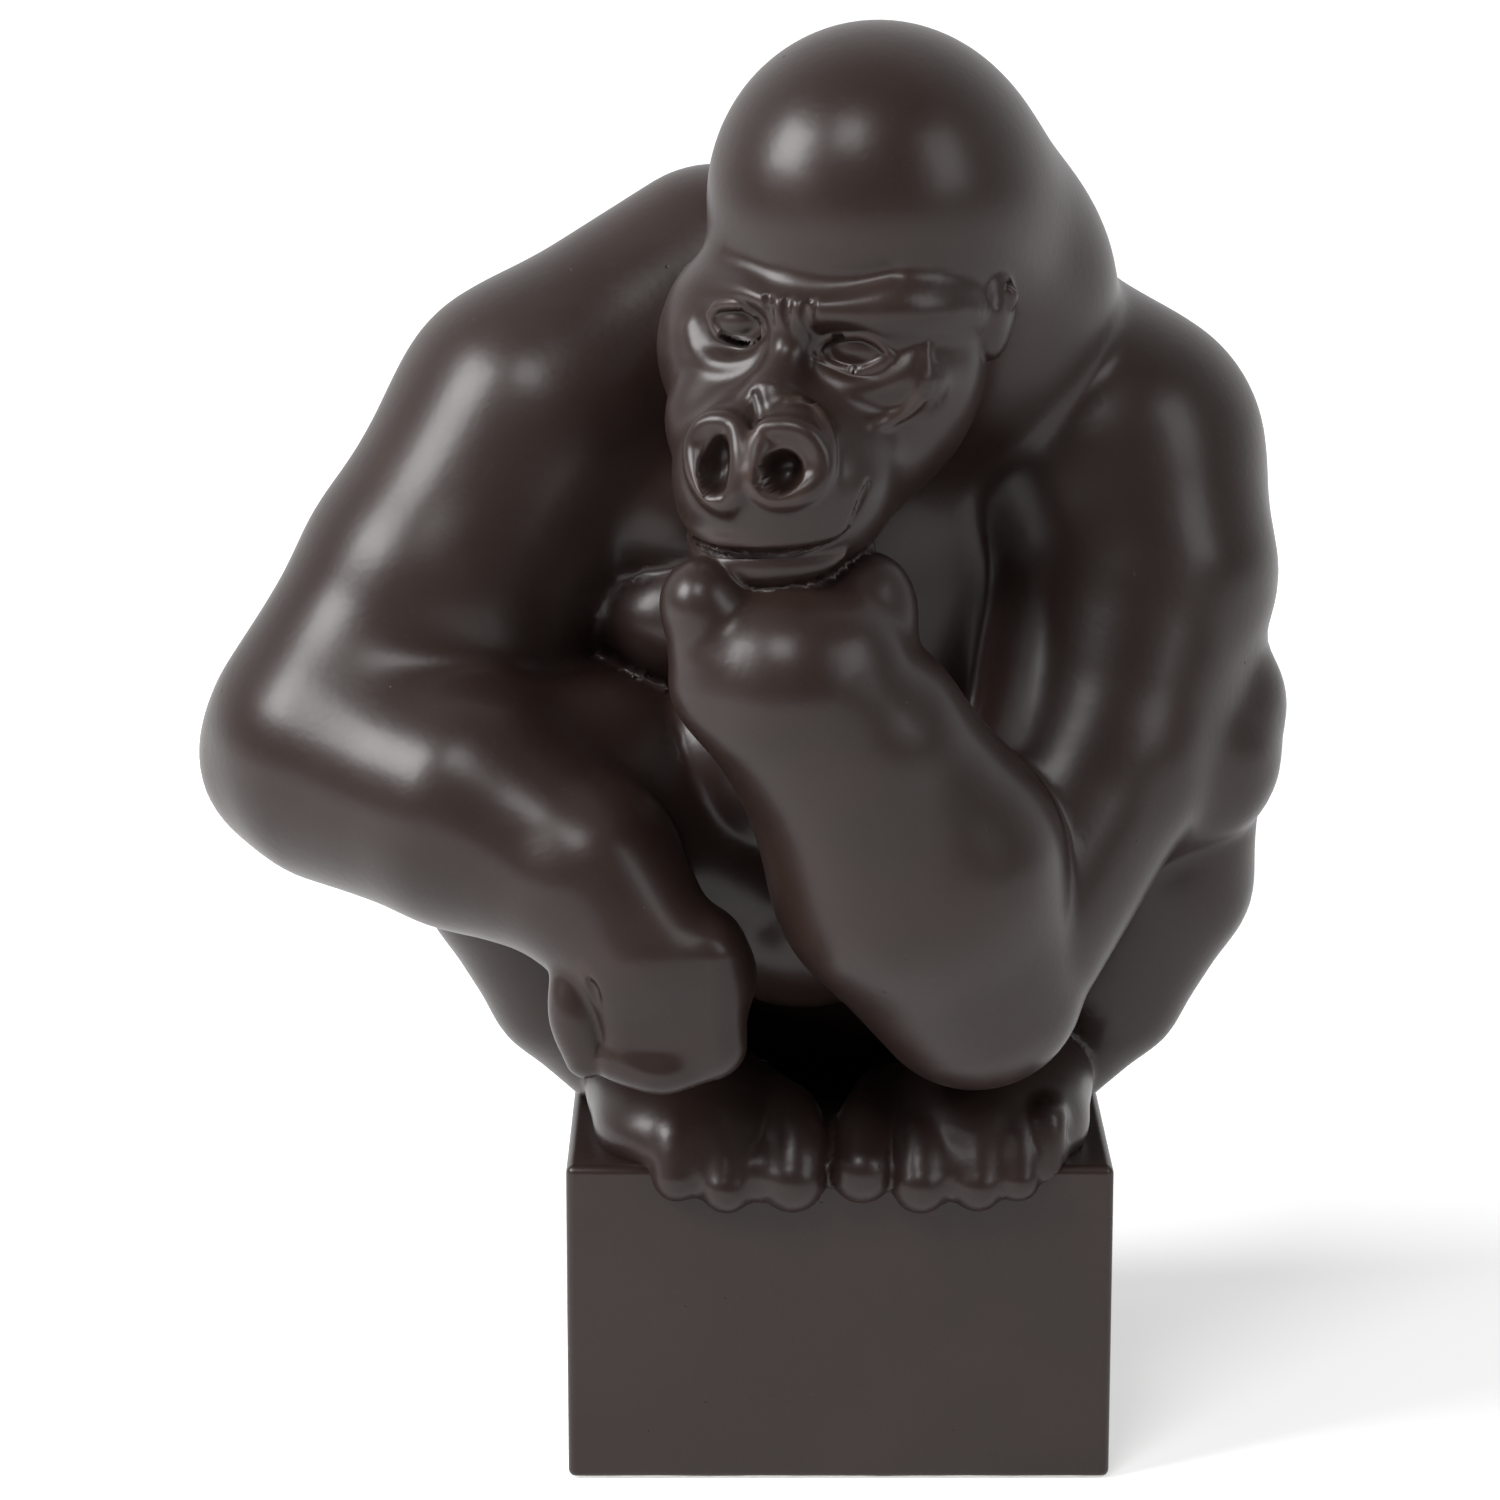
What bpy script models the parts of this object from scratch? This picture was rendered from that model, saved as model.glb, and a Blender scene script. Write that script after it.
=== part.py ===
"""Porcelain gorilla figurine: a squatting ape with its chin on its fist, on a square plinth.

The figure is slip-cast in sections that are luted together before the glaze is fired.
Each section is one object here. Lengths are millimetres until a section is finished.
The figure's axes start at the middle of the plinth's top front edge:
x to the viewer's right, y towards the back, z up. Its right side is the viewer's left.
"""
import math

import bmesh
import bpy
import numpy as np
from mathutils import Matrix, Vector

MM = 0.001

# Plinth, and the bare porcelain slab that closes its underside
PLINTH_WIDTH = 150.0
PLINTH_DEPTH = 150.0
PLINTH_HEIGHT = 91.0
PLINTH_EDGE = 2.5
PLINTH_WALL = 9.0
SLAB_HEIGHT = 7.0
SLAB_CORNER = 6.0
VENT_DIAMETER = 12.0
VENT_BACK = 35.0
VENT_DEPTH = 14.0

# Luted joints
SEAM_GAP = 0.3
SEAM_ALLOWANCE = 2.5
ARM_ALLOWANCE = 5.5
ELBOW_ALLOWANCE = 8.0

# Head: where it sits, and how it turns and nods in degrees
HEAD_PLACE = (3.0, 20.0, 246.5)
HEAD_YAW = -23.0
HEAD_NOD = 3.0
HEAD_TILT = 1.0
DOME_RADII = (44.5, 48.0, 46.5)
NAPE_RADII = (47.0, 42.0, 47.0)
MUZZLE_RADII = (29.0, 27.0, 25.0)

# Face, in the head's axes: eyeball x, z and tilt, and points along each fold
R_EYE = (-16.6, -10.8, 6)
L_EYE = (15.2, -15.6, -4)
R_UPPER_LID = ((-24.3, -39.5, -9.6), (-22.1, -40.2, -7), (-18.4, -41.4, -5.7), (-14.3, -42.4, -5.5),
               (-10.9, -41.8, -7.4), (-7.9, -42, -11.3))
R_LOWER_LID = ((-24.3, -39.5, -9.6), (-22.9, -39.8, -12.5), (-20.5, -40.4, -14.3), (-16.3, -41, -15.5),
               (-12.1, -41.6, -15.3), (-8.1, -42, -12.2))
R_POUCH = ((-31, -37, -14), (-27.4, -39.5, -19.7), (-20.8, -42.8, -22), (-13.5, -43.8, -21.4),
           (-9, -44, -19.2), (-7.2, -44, -16))
L_UPPER_LID = ((6.4, -42, -15.7), (9, -41.8, -12.5), (13.8, -41.6, -11.2), (18.9, -41.2, -10.9),
               (22.5, -39.5, -12.9), (25, -37.8, -16.1))
L_LOWER_LID = ((6.4, -42, -15.7), (9.2, -41.4, -19), (13.6, -41.2, -20.5), (18.5, -40.8, -20.5),
               (22.5, -39.4, -18.9), (25, -37.8, -16.5))
L_POUCH = ((7.2, -42.5, -20), (11, -42.8, -23), (17, -41.8, -25), (22.7, -38.8, -24.7),
           (27.8, -36.8, -22), (31.2, -34, -17))
FURROW = ((-23.7, -34.6, 5.7), (-14.7, -39.3, 4.6), (-5.9, -43.4, 2.1), (3.8, -44.1, 1.4),
          (15.1, -41.3, 2.1), (25.3, -35.3, 4.6))
FROWN_FOLDS = (((-5.9, -45.7, -0.2), (-5.1, -47, -3.9), (-4, -47, -8.3), (-2.6, -47.3, -12)),
               ((0.6, -45.8, 0.2), (0.2, -47.6, -3.3), (0.7, -47.9, -7.7), (2, -47.2, -11.8)),
               ((6.8, -45.5, -0.2), (6.2, -47, -3.1), (6.1, -47.2, -7.4), (6.7, -44.5, -11.2)))
CHEEK_FOLD = ((31.9, -34, -14.3), (34, -35.4, -20.8), (33.2, -36.2, -25.8), (29.6, -37, -30.5),
              (25.6, -40, -33), (22.5, -45, -33.8))
NOSE_WING = ((5.6, -59, -26), (8.1, -57, -26), (11.2, -56.4, -27), (15.6, -60.2, -29.8),
             (18.4, -62.6, -35.1), (19.4, -64, -41.5))
R_NOSTRIL_RIM = ((-10, -66.3, -31), (-15.2, -65.6, -33), (-17.5, -66.4, -38.5), (-15, -70, -44.5),
                 (-10, -72.6, -49), (-5.2, -73.5, -50), (-2.3, -73.8, -46.4), (-2.6, -71.2, -37.9),
                 (-5.6, -67.2, -32.2))
L_NOSTRIL_RIM = ((2.1, -67.6, -33), (7.8, -66.8, -31), (13.3, -66, -32.2), (16.9, -65.4, -37.1),
                 (17.5, -66.4, -42.5), (15, -69, -46.2), (10.1, -71.8, -47.9), (5.1, -73.2, -47),
                 (2, -73, -42.2))
MUZZLE_FOLD = ((26.2, -56, -46), (25.1, -59, -51.4), (23.1, -60.4, -56.6))
MOUTH_LINE = ((-23.8, -60, -60), (-17.8, -65.3, -63.3), (-8.7, -70.4, -63.8), (-1.9, -71.3, -63.4),
              (5, -70.2, -62.9), (11, -67.9, -62.6), (15.8, -65.2, -61.8), (19.8, -62, -60.3),
              (22.3, -60, -57.4))

# Trunk
PELVIS = ((0, 104, 44), (64, 44, 46))
LOINS = ((-2, 98, 96), (58, 47, 50))
R_FLANK = ((-50, 72, 116), (26, 26, 26))
BELLY = ((-6, 70, 88), (54, 44, 56))
RIBCAGE = ((-6, 90, 146), (76, 54, 74))
R_BREAST = ((-45, 57, 173), (33, 27, 24))
UPPER_BELLY = ((-34, 51, 143), (31, 21, 20))
BELLY_DOME = ((-28, 47, 108), (35, 27, 28))
SHOULDERS = ((-2, 92, 188), (92, 44, 48))
NECK_TOP = (16, 62, 226, 46)
NECK_ROOT = (0, 84, 196, 52)

# Limb stations: x, y, z and radius
R_TRAPEZIUS = (-34, 84, 230, 34)
R_SHOULDER = (-81, 68, 192, 42.5)
R_BICEPS = (-108, 54, 150, 42)
R_ELBOW = (-138, 42, 114, 34)
R_FOREARM_TOP = (-134, 34, 108, 36)
R_FOREARM_MID = (-100, 10, 100, 34)
R_WRIST = (-68, -11, 86, 25)
R_PALM = (-54, -20, 68, 20)
L_TRAPEZIUS = (43, 84, 215, 34)
L_SHOULDER = (75, 72, 184, 42)
L_BICEPS = (82, 60, 154, 39)
L_TRICEPS = (70, 34, 108, 32)
L_ARM_LOW = (46, 6, 68, 28)
L_ELBOW = (36, -2, 54, 30)
L_FOREARM_LOW = (20, -12, 88, 39)
L_FOREARM_MID = (2, -26, 124, 31)
L_WRIST = (-13, -35, 142, 27)
R_THIGH_FRONT = (-70, 36, 95, 35)
R_THIGH_INNER = (-30, 38, 75, 24)
HIP = (43, 80, 64, 38)
THIGH_END = (95, 52, 104, 27)
KNEE = (102, 58, 117, 23)
KNEE_LOW = (98, 56, 108, 24)
CALF_TOP = (96, 60, 88, 22)
CALF = (90, 63, 66, 27)
CALF_LOW = (76, 66, 34, 23)
ANKLE = (60, 70, 10, 17)

# Luting planes: a point on each and the direction into the outer section
R_SHOULDER_PLANE = ((-95, 63, 174), (-31, -12, -40))
L_SHOULDER_PLANE = ((79, 66, 168), (7, -12, -30))
R_ELBOW_PLANE = ((-141, 44, 114), (20, -81, -101))
R_WRIST_PLANE = ((-62, -14, 79), (16, -10, -17))
L_WRIST_PLANE = ((-4, -30, 130), (-15, -9, 18))

# Toes: x, front, lowest point, radius and where the toe leaves the foot
R_TOES = ((-47.5, -6, -10, 6.4, -47), (-35, -10, -12.5, 6.6, -36),
          (-20.5, -12, -13.5, 8.0, -24), (-7.5, -9, -9.5, 6.4, -14))
L_TOES = ((19.5, -12, -13, 8.2, 22), (36, -10, -12, 7.2, 35),
          (48.5, -8, -9.5, 5.8, 47), (57.5, -3, -5.5, 4.6, 56))

# Fineness of the solid sections
FIRST_GRAIN = 4.0
FINE_GRAIN = 2.0
TRIANGLES = 5300
DETAIL_COST = 0.015
MOULD_GRAIN = 5.0
MOULD_TRIANGLES = 200
WELD = 0.002

GLAZE_COLOUR = (0.047, 0.036, 0.032, 1.0)
BISQUE_COLOUR = (0.80, 0.78, 0.74, 1.0)

# Reach of the clay's distance field, a value beyond it, and the spacing at which it is probed
BAND = 6.0
FAR = 1000.0
PROBE = 0.15


def turn(yaw=0.0, pitch=0.0, roll=0.0):
    """Rotation from degrees: roll about y, then pitch about x, then yaw about z."""
    matrix = (Matrix.Rotation(math.radians(yaw), 3, "Z")
              @ Matrix.Rotation(math.radians(pitch), 3, "X")
              @ Matrix.Rotation(math.radians(roll), 3, "Y"))
    return np.array(matrix)


def placed(centre, axes, size=(1.0, 1.0, 1.0)):
    """A 4x4 matrix for a primitive: its centre, its axes and its size along them."""
    matrix = Matrix(axes.tolist()).to_4x4() @ Matrix.Diagonal((*size, 1.0))
    matrix.translation = Vector(centre)
    return matrix


def blend_union(a, b, width):
    """Smaller of two distances, with a rounded fillet where they are alike."""
    if width <= 0.0:
        return np.minimum(a, b)
    share = np.maximum(width - np.abs(a - b), 0.0) / width
    return np.minimum(a, b) - share ** 3 * width / 6.0


class Ball:
    """An ellipsoid of clay."""

    def __init__(self, centre, radii, yaw=0.0, pitch=0.0, roll=0.0):
        self.centre = np.array(centre, float)
        self.radii = np.array(radii, float)
        self.axes = turn(yaw, pitch, roll)
        self.reach = float(self.radii.max())

    def distance(self, points):
        local = (points - self.centre) @ self.axes
        near = np.sqrt(((local / self.radii) ** 2).sum(1))
        slope = np.sqrt(((local / self.radii ** 2) ** 2).sum(1))
        return near * (near - 1.0) / np.maximum(slope, 1e-9)

    def rough_out(self, bm, grow, axes, origin):
        centre = axes @ self.centre + origin
        size = self.radii + grow
        bmesh.ops.create_icosphere(bm, subdivisions=3, radius=1.0,
                                   matrix=placed(centre, axes @ self.axes, size))


class Limb:
    """A tapered limb between two round ends, each given as x, y, z and radius."""

    def __init__(self, start, end):
        self.a, self.ra = np.array(start[:3], float), float(start[3])
        self.b, self.rb = np.array(end[:3], float), float(end[3])
        self.centre = (self.a + self.b) / 2.0
        self.reach = float(np.linalg.norm(self.a - self.b)) / 2.0 + max(self.ra, self.rb)

    def distance(self, points):
        run = self.b - self.a
        length2 = run @ run
        taper = self.ra - self.rb
        cone2 = length2 - taper * taper
        if cone2 <= 1e-6:
            centre, radius = (self.a, self.ra) if self.ra > self.rb else (self.b, self.rb)
            return np.linalg.norm(points - centre, axis=1) - radius
        offset = points - self.a
        along = offset @ run
        beyond = along - length2
        side2 = ((offset * length2 - np.outer(along, run)) ** 2).sum(1)
        lean = np.sign(taper) * taper * taper * side2
        result = (np.sqrt(side2 * cone2 / length2) + along * taper) / length2 - self.ra
        far = np.sign(beyond) * cone2 * beyond * beyond * length2 > lean
        near = ~far & (np.sign(along) * cone2 * along * along * length2 < lean)
        result[far] = np.sqrt(side2[far] + beyond[far] ** 2 * length2) / length2 - self.rb
        result[near] = np.sqrt(side2[near] + along[near] ** 2 * length2) / length2 - self.ra
        return result

    def rough_out(self, bm, grow, axes, origin):
        a, b = axes @ self.a + origin, axes @ self.b + origin
        ra, rb = self.ra + grow, self.rb + grow
        for centre, radius in ((a, ra), (b, rb)):
            bmesh.ops.create_icosphere(bm, subdivisions=3, radius=radius,
                                       matrix=Matrix.Translation(Vector(centre)))
        run = Vector(b - a)
        if run.length > abs(ra - rb):
            lie = run.to_track_quat("Z", "Y").to_matrix().to_4x4()
            lie.translation = Vector((a + b) / 2.0)
            bmesh.ops.create_cone(bm, cap_ends=True, segments=32, radius1=ra, radius2=rb,
                                  depth=run.length, matrix=lie)


class Roll:
    """A rolled coil of clay through points, or the path of a round tool, with a radius at each."""

    def __init__(self, points, radii, closed=False, steps=6):
        points = np.array(points, float)
        radii = np.array(radii, float)
        count = len(points)
        path, thick = [], []
        for i in range(count if closed else count - 1):
            if closed:
                near = [(i + j) % count for j in (-1, 0, 1, 2)]
            else:
                near = [max(i - 1, 0), i, i + 1, min(i + 2, count - 1)]
            for step in range(steps):
                path.append(through(points[near], step / steps))
                thick.append(through(radii[near], step / steps))
        path.append(points[0] if closed else points[-1])
        thick.append(radii[0] if closed else radii[-1])
        self.path = np.array(path)
        self.thick = np.maximum(thick, 0.05)
        self.centre = (self.path.min(0) + self.path.max(0)) / 2.0
        self.reach = float((np.linalg.norm(self.path - self.centre, axis=1) + self.thick).max())

    def distance(self, points):
        best = np.full(len(points), FAR)
        for i in range(len(self.path) - 1):
            run = self.path[i + 1] - self.path[i]
            offset = points - self.path[i]
            along = np.clip(offset @ run / (run @ run), 0.0, 1.0)
            radius = self.thick[i] + along * (self.thick[i + 1] - self.thick[i])
            away = offset - np.outer(along, run)
            best = np.minimum(best, np.linalg.norm(away, axis=1) - radius)
        return best

    def rough_out(self, bm, grow, axes, origin):
        for point, radius in zip(self.path, self.thick):
            if radius < 2.0:
                continue
            centre = Vector(axes @ point + origin)
            bmesh.ops.create_icosphere(bm, subdivisions=2, radius=radius + grow,
                                       matrix=Matrix.Translation(centre))


def through(near, t):
    """A point on the smooth curve through the middle two of four values."""
    a, b, c, d = near
    return 0.5 * (2 * b + (c - a) * t + (2 * a - 5 * b + 4 * c - d) * t ** 2
                  + (3 * b - a - 3 * c + d) * t ** 3)


class Pad:
    """A round-cornered block of clay."""

    def __init__(self, centre, half, corner, roll=0.0):
        self.centre = np.array(centre, float)
        self.half = np.array(half, float)
        self.corner = corner
        self.axes = turn(roll=roll)
        self.reach = float(np.linalg.norm(self.half))

    def distance(self, points):
        out = np.abs((points - self.centre) @ self.axes) - (self.half - self.corner)
        outside = np.sqrt((np.maximum(out, 0.0) ** 2).sum(1))
        return outside + np.minimum(out.max(1), 0.0) - self.corner

    def rough_out(self, bm, grow, axes, origin):
        centre = axes @ self.centre + origin
        size = (self.half + grow) * 1.6
        bmesh.ops.create_cube(bm, size=1.0, matrix=placed(centre, axes @ self.axes, size))


class Clay:
    """Masses laid on and tooled away in order, each with the width of its fillet."""

    def __init__(self, place=(0.0, 0.0, 0.0), axes=None):
        self.origin = np.array(place, float)
        self.axes = np.eye(3) if axes is None else axes
        self.steps = []

    def add(self, mass, fillet=0.0):
        self.steps.append((mass, fillet, True))

    def cut(self, mass, fillet=0.0):
        self.steps.append((mass, fillet, False))

    def distance(self, points, band=BAND):
        """Distance to the clay's surface, right within a band of it and large further off."""
        local = (points - self.origin) @ self.axes
        field = np.full(len(points), FAR)
        close = self.close_to(local, band)
        local, nearby = local[close], field[close]
        for mass, fillet, adds in self.steps:
            reach = mass.reach + fillet + band
            near = np.nonzero(((local - mass.centre) ** 2).sum(1) < reach * reach)[0]
            if not len(near):
                continue
            distance = mass.distance(local[near])
            if adds:
                nearby[near] = blend_union(nearby[near], distance, fillet)
            else:
                nearby[near] = -blend_union(-nearby[near], distance, fillet)
        field[close] = nearby
        return field

    def close_to(self, local, band):
        """Which points lie in the box round all the masses, grown by a band."""
        masses = [mass for mass, _, _ in self.steps]
        low = np.min([mass.centre - mass.reach for mass in masses], axis=0) - band
        high = np.max([mass.centre + mass.reach for mass in masses], axis=0) + band
        return np.nonzero(((local > low) & (local < high)).all(1))[0]

    def rough_out(self, bm, grow=0.0):
        for mass, fillet, adds in self.steps:
            if adds:
                mass.rough_out(bm, grow, self.axes, self.origin)


def mirrored(station):
    """The same limb station on the figure's right side."""
    return (-station[0], *station[1:])


# Head, in its own axes: origin at its middle, face towards -y

def model_brow(clay):
    ridge = [(-36, -19, -8), (-30, -28, -5.5), (-20, -34.5, -4), (-8, -39.5, -4), (4, -40.5, -5),
             (16, -37, -5.5), (27, -30, -6), (36, -19, -9)]
    clay.add(Roll(ridge, [5, 5.5, 5.5, 6.5, 7, 7.5, 8, 7.5]), 7)
    clay.cut(Roll(FURROW, [0.5, 1.1, 1.4, 1.4, 1.1, 0.5]), 3)
    for fold in FROWN_FOLDS:
        clay.cut(Roll(fold, [0.5, 1.2, 1.3, 0.6]), 1.2)


def model_eye(clay, ball, upper, lower, pouch):
    x, z, tilt = ball
    clay.cut(Ball((x, -49, z - 1), (12.5, 9.5, 8), roll=-tilt), 5)
    clay.add(Ball((x, -34, z), (9.5, 7.6, 5.6), roll=-tilt), 1.0)
    clay.add(Roll(pouch, [0.8, 2.4, 2.8, 2.6, 2.0, 0.8]), 4)
    clay.add(Roll(upper, [0.8, 1.2, 1.3, 1.3, 1.2, 0.8]), 0.8)
    clay.add(Roll(lower, [0.8, 1.1, 1.2, 1.2, 1.1, 0.8]), 0.8)


def model_cheeks(clay):
    clay.add(Ball((-4, -15, -23), (45, 30, 36)), 12)
    clay.add(Limb((0, -8, -30, 36), (0, -38, -50, 25)), 10)
    clay.add(Ball((-23, -38, -38), (14, 14, 15)), 14)


def model_cheekbones(clay):
    clay.add(Ball((-29, -31, -20), (9, 7, 8)), 9)
    clay.add(Ball((28, -31, -24), (9, 7, 8)), 9)
    clay.add(Roll(CHEEK_FOLD, [0.6, 1.5, 1.7, 1.6, 1.3, 0.5]), 1.6)


def model_nostril(clay, rim, hole, radii):
    clay.add(Roll(rim, [2.0] * len(rim), closed=True), 2.5)
    clay.cut(Ball(hole, radii), 2)


def model_nose(clay):
    clay.add(Roll([(-0.5, -42, -9), (-0.5, -46, -17), (-1, -53, -26)], [4.0, 4.0, 7]), 8)
    clay.add(Ball((-1, -47.5, -49.5), MUZZLE_RADII), 10)
    clay.add(Ball((-9, -60, -39), (11, 9, 12)), 4)
    clay.add(Ball((8.5, -60, -38.5), (11, 9, 12)), 4)
    clay.add(Roll(NOSE_WING, [0.8, 1.3, 1.5, 1.6, 1.5, 0.8]), 2)
    model_nostril(clay, R_NOSTRIL_RIM, (-9.3, -73, -41.2), (4.6, 9, 6.2))
    model_nostril(clay, L_NOSTRIL_RIM, (8.0, -72, -42.2), (5.0, 9, 5.2))
    clay.cut(Roll([(-3.4, -60.5, -24.5), (-1.3, -64, -28.6), (0.6, -68.5, -33)], [0.5, 1.4, 0.6]), 3)
    clay.cut(Roll(MUZZLE_FOLD, [0.4, 0.8, 0.5]), 2)


def model_mouth(clay):
    clay.add(Ball((-3, -52, -66.5), (19.5, 19, 11.5)), 5)
    clay.cut(Roll(MOUTH_LINE, [0.5, 1.0, 1.2, 1.3, 1.3, 1.2, 1.0, 0.7, 0.4]), 1.2)
    upper = [(x, y - 0.2, z + 2.4) for x, y, z in MOUTH_LINE]
    clay.add(Roll(upper, [0.4, 1.0, 1.5, 1.7, 1.7, 1.5, 1.1, 0.7, 0.4]), 1.5)
    lower = [(x, y + 0.3, z - 2.4) for x, y, z in MOUTH_LINE[1:7]]
    clay.add(Roll(lower, [0.6, 1.3, 1.6, 1.6, 1.3, 0.6]), 2)


def ear_clay(side):
    """One ear: the rolled helix and the fold inside it."""
    clay = Clay(HEAD_PLACE, turn(HEAD_YAW, HEAD_NOD, HEAD_TILT))
    helix = [(40, 1, -17), (42, -0.5, -10), (43, 3.5, -3.8), (44.2, 9, -4.5),
             (44.5, 12, -10), (43, 10, -17), (41, 5, -23.5)]
    rim = [(side * x, y, z) for x, y, z in helix]
    clay.add(Roll(rim, [1.6, 1.8, 1.9, 2.1, 2.0, 2.2, 2.8]))
    clay.add(Ball((side * 40, 6, -13), (5.5, 6, 9)), 2)
    return clay


def ear_root(side):
    """The oval in which an ear is luted on to the head."""
    clay = Clay(HEAD_PLACE, turn(HEAD_YAW, HEAD_NOD, HEAD_TILT))
    clay.add(Ball((side * 42.5, 4, -12.5), (8, 13, 17)))
    return clay


def head_clay():
    clay = Clay(HEAD_PLACE, turn(HEAD_YAW, HEAD_NOD, HEAD_TILT))
    clay.add(Ball((4, 6, 16), DOME_RADII))
    clay.add(Ball((9, 47, -19), NAPE_RADII), 45)
    model_cheeks(clay)
    model_brow(clay)
    model_eye(clay, R_EYE, R_UPPER_LID, R_LOWER_LID, R_POUCH)
    model_eye(clay, L_EYE, L_UPPER_LID, L_LOWER_LID, L_POUCH)
    model_cheekbones(clay)
    model_nose(clay)
    model_mouth(clay)
    return clay


# Body, in the figure's axes

def trunk_clay():
    clay = Clay()
    clay.add(Ball(*PELVIS))
    clay.add(Ball(*BELLY), 20)
    clay.add(Ball(*LOINS), 30)
    clay.add(Ball(*RIBCAGE), 24)
    clay.add(Ball(*BELLY_DOME), 6)
    clay.add(Ball(*UPPER_BELLY), 4)
    clay.add(Ball(*R_BREAST), 5)
    clay.add(Ball(*R_FLANK), 16)
    clay.add(Ball(*SHOULDERS), 25)
    clay.add(Limb(NECK_TOP, NECK_ROOT), 16)
    clay.add(Limb(R_TRAPEZIUS, R_SHOULDER), 16)
    clay.add(Limb(L_TRAPEZIUS, L_SHOULDER), 16)
    return clay


def chain(clay, stations, fillet):
    """A limb through several stations."""
    for start, end in zip(stations, stations[1:]):
        clay.add(Limb(start, end), fillet)


def right_upper_arm_clay():
    clay = Clay()
    chain(clay, (R_SHOULDER, R_BICEPS, R_ELBOW), 6)
    return clay


def right_forearm_clay():
    clay = Clay()
    clay.add(Ball((-150, 42, 104), (25, 25, 24)))
    chain(clay, (R_FOREARM_TOP, R_FOREARM_MID, R_WRIST, R_PALM), 6)
    return clay


def right_hand_clay():
    clay = Clay()
    clay.add(Limb(R_WRIST, R_PALM))
    clay.add(Pad((-46, -21, 55), (20, 15, 21.5), 9, roll=-3), 12)
    clay.add(Ball((-32, -19, 60), (9, 11, 11)), 8)
    clay.add(Roll([(-69, -19, 72), (-71.5, -26, 63), (-71.5, -29, 52), (-68, -28, 42)], [4.5, 6.0, 6.3, 5.0]), 1.0)
    clay.cut(Roll([(-65, -31, 71), (-64.4, -36, 62), (-64.5, -37, 52), (-65.5, -35, 44)], [0.9, 1.8, 1.6, 0.7]), 1.2)
    clay.add(Roll([(-60, -30, 40), (-48, -32, 37), (-36, -28, 39)], [5.5, 6.0, 5.0]), 4)
    return clay


def left_upper_arm_clay():
    clay = Clay()
    chain(clay, (L_SHOULDER, L_BICEPS, L_TRICEPS, L_ARM_LOW), 6)
    return clay


def left_forearm_clay():
    clay = Clay()
    chain(clay, (L_ELBOW, L_FOREARM_LOW, L_FOREARM_MID, L_WRIST), 6)
    return clay


def left_hand_clay():
    clay = Clay()
    clay.add(Limb(L_FOREARM_MID, L_WRIST))
    clay.add(Pad((-16, -36, 151), (29, 21, 17), 13), 16)
    clay.add(Ball((2, -31, 161), (13, 14, 15)), 12)
    clay.add(Ball((-36, -42, 163), (11, 13, 11)), 10)
    return clay


def thigh_clay(side):
    clay = Clay()
    stations = (HIP, THIGH_END, KNEE_LOW, KNEE)
    chain(clay, stations if side > 0 else [mirrored(s) for s in stations], 6)
    if side < 0:
        chain(clay, (mirrored(HIP), R_THIGH_FRONT, R_THIGH_INNER), 12)
    return clay


def shin_clay(side):
    clay = Clay()
    stations = (CALF_TOP, CALF, CALF_LOW, ANKLE)
    chain(clay, stations if side > 0 else [mirrored(s) for s in stations], 4)
    return clay


def toe(clay, x, front, low, radius, root):
    """One toe that hooks over the plinth's front edge."""
    tip = (x, front + radius, low + radius)
    clay.add(Roll([(root, 16, 4), (x, 5, low + 15), tip], [radius + 3.0, radius + 1.0, radius]), 2.5)


def ball_of_foot(clay, toes):
    """The pad that joins the toes, so that they part only at their ends."""
    path = [(x, front + radius + 6.5, low + radius + 4.0) for x, front, low, radius, root in toes]
    clay.add(Roll(path, [radius for _, _, _, radius, _ in toes]), 8)


def right_foot_clay():
    clay = Clay()
    clay.add(Ball((-58, 84, 8), (17, 20, 13)))
    clay.add(Ball((-46, 48, 8), (25, 36, 20), yaw=8), 6)
    clay.add(Ball((-36, 24, 4), (31, 27, 18)), 14)
    ball_of_foot(clay, R_TOES)
    for sizes in R_TOES:
        toe(clay, *sizes)
    return clay


def left_foot_clay():
    clay = Clay()
    clay.add(Ball((58, 84, 8), (17, 20, 13)))
    clay.add(Ball((44, 48, 10), (28, 36, 21), yaw=-8), 6)
    clay.add(Ball((38, 24, 5), (31, 27, 18)), 14)
    ball_of_foot(clay, L_TOES)
    clay.add(Roll([(14, 30, 8), (6, 12, 5), (4.5, 0.5, 0)], [10, 8, 6.8]), 3.5)
    for sizes in L_TOES:
        toe(clay, *sizes)
    return clay


class Section:
    """One cast section: its clay, the fillet to its neighbours and where it is parted from them."""

    def __init__(self, clay, fillet, allowance=SEAM_ALLOWANCE, territory=None, plane=None):
        self.clay = clay
        self.fillet = fillet
        self.allowance = allowance
        self.territory = territory or clay
        self.plane = plane

    def inside(self, points):
        """Which points belong to this section, if no outer one has them."""
        held = self.territory.distance(points) < self.allowance
        if self.plane:
            point, direction = np.array(self.plane)
            held &= (points - point) @ direction > 0.0
        return held

    def level(self, gap):
        """A field that is zero on the section's mould, grown by a gap."""
        return lambda points: self.territory.distance(points, band=12.0) - self.allowance - gap


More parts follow.
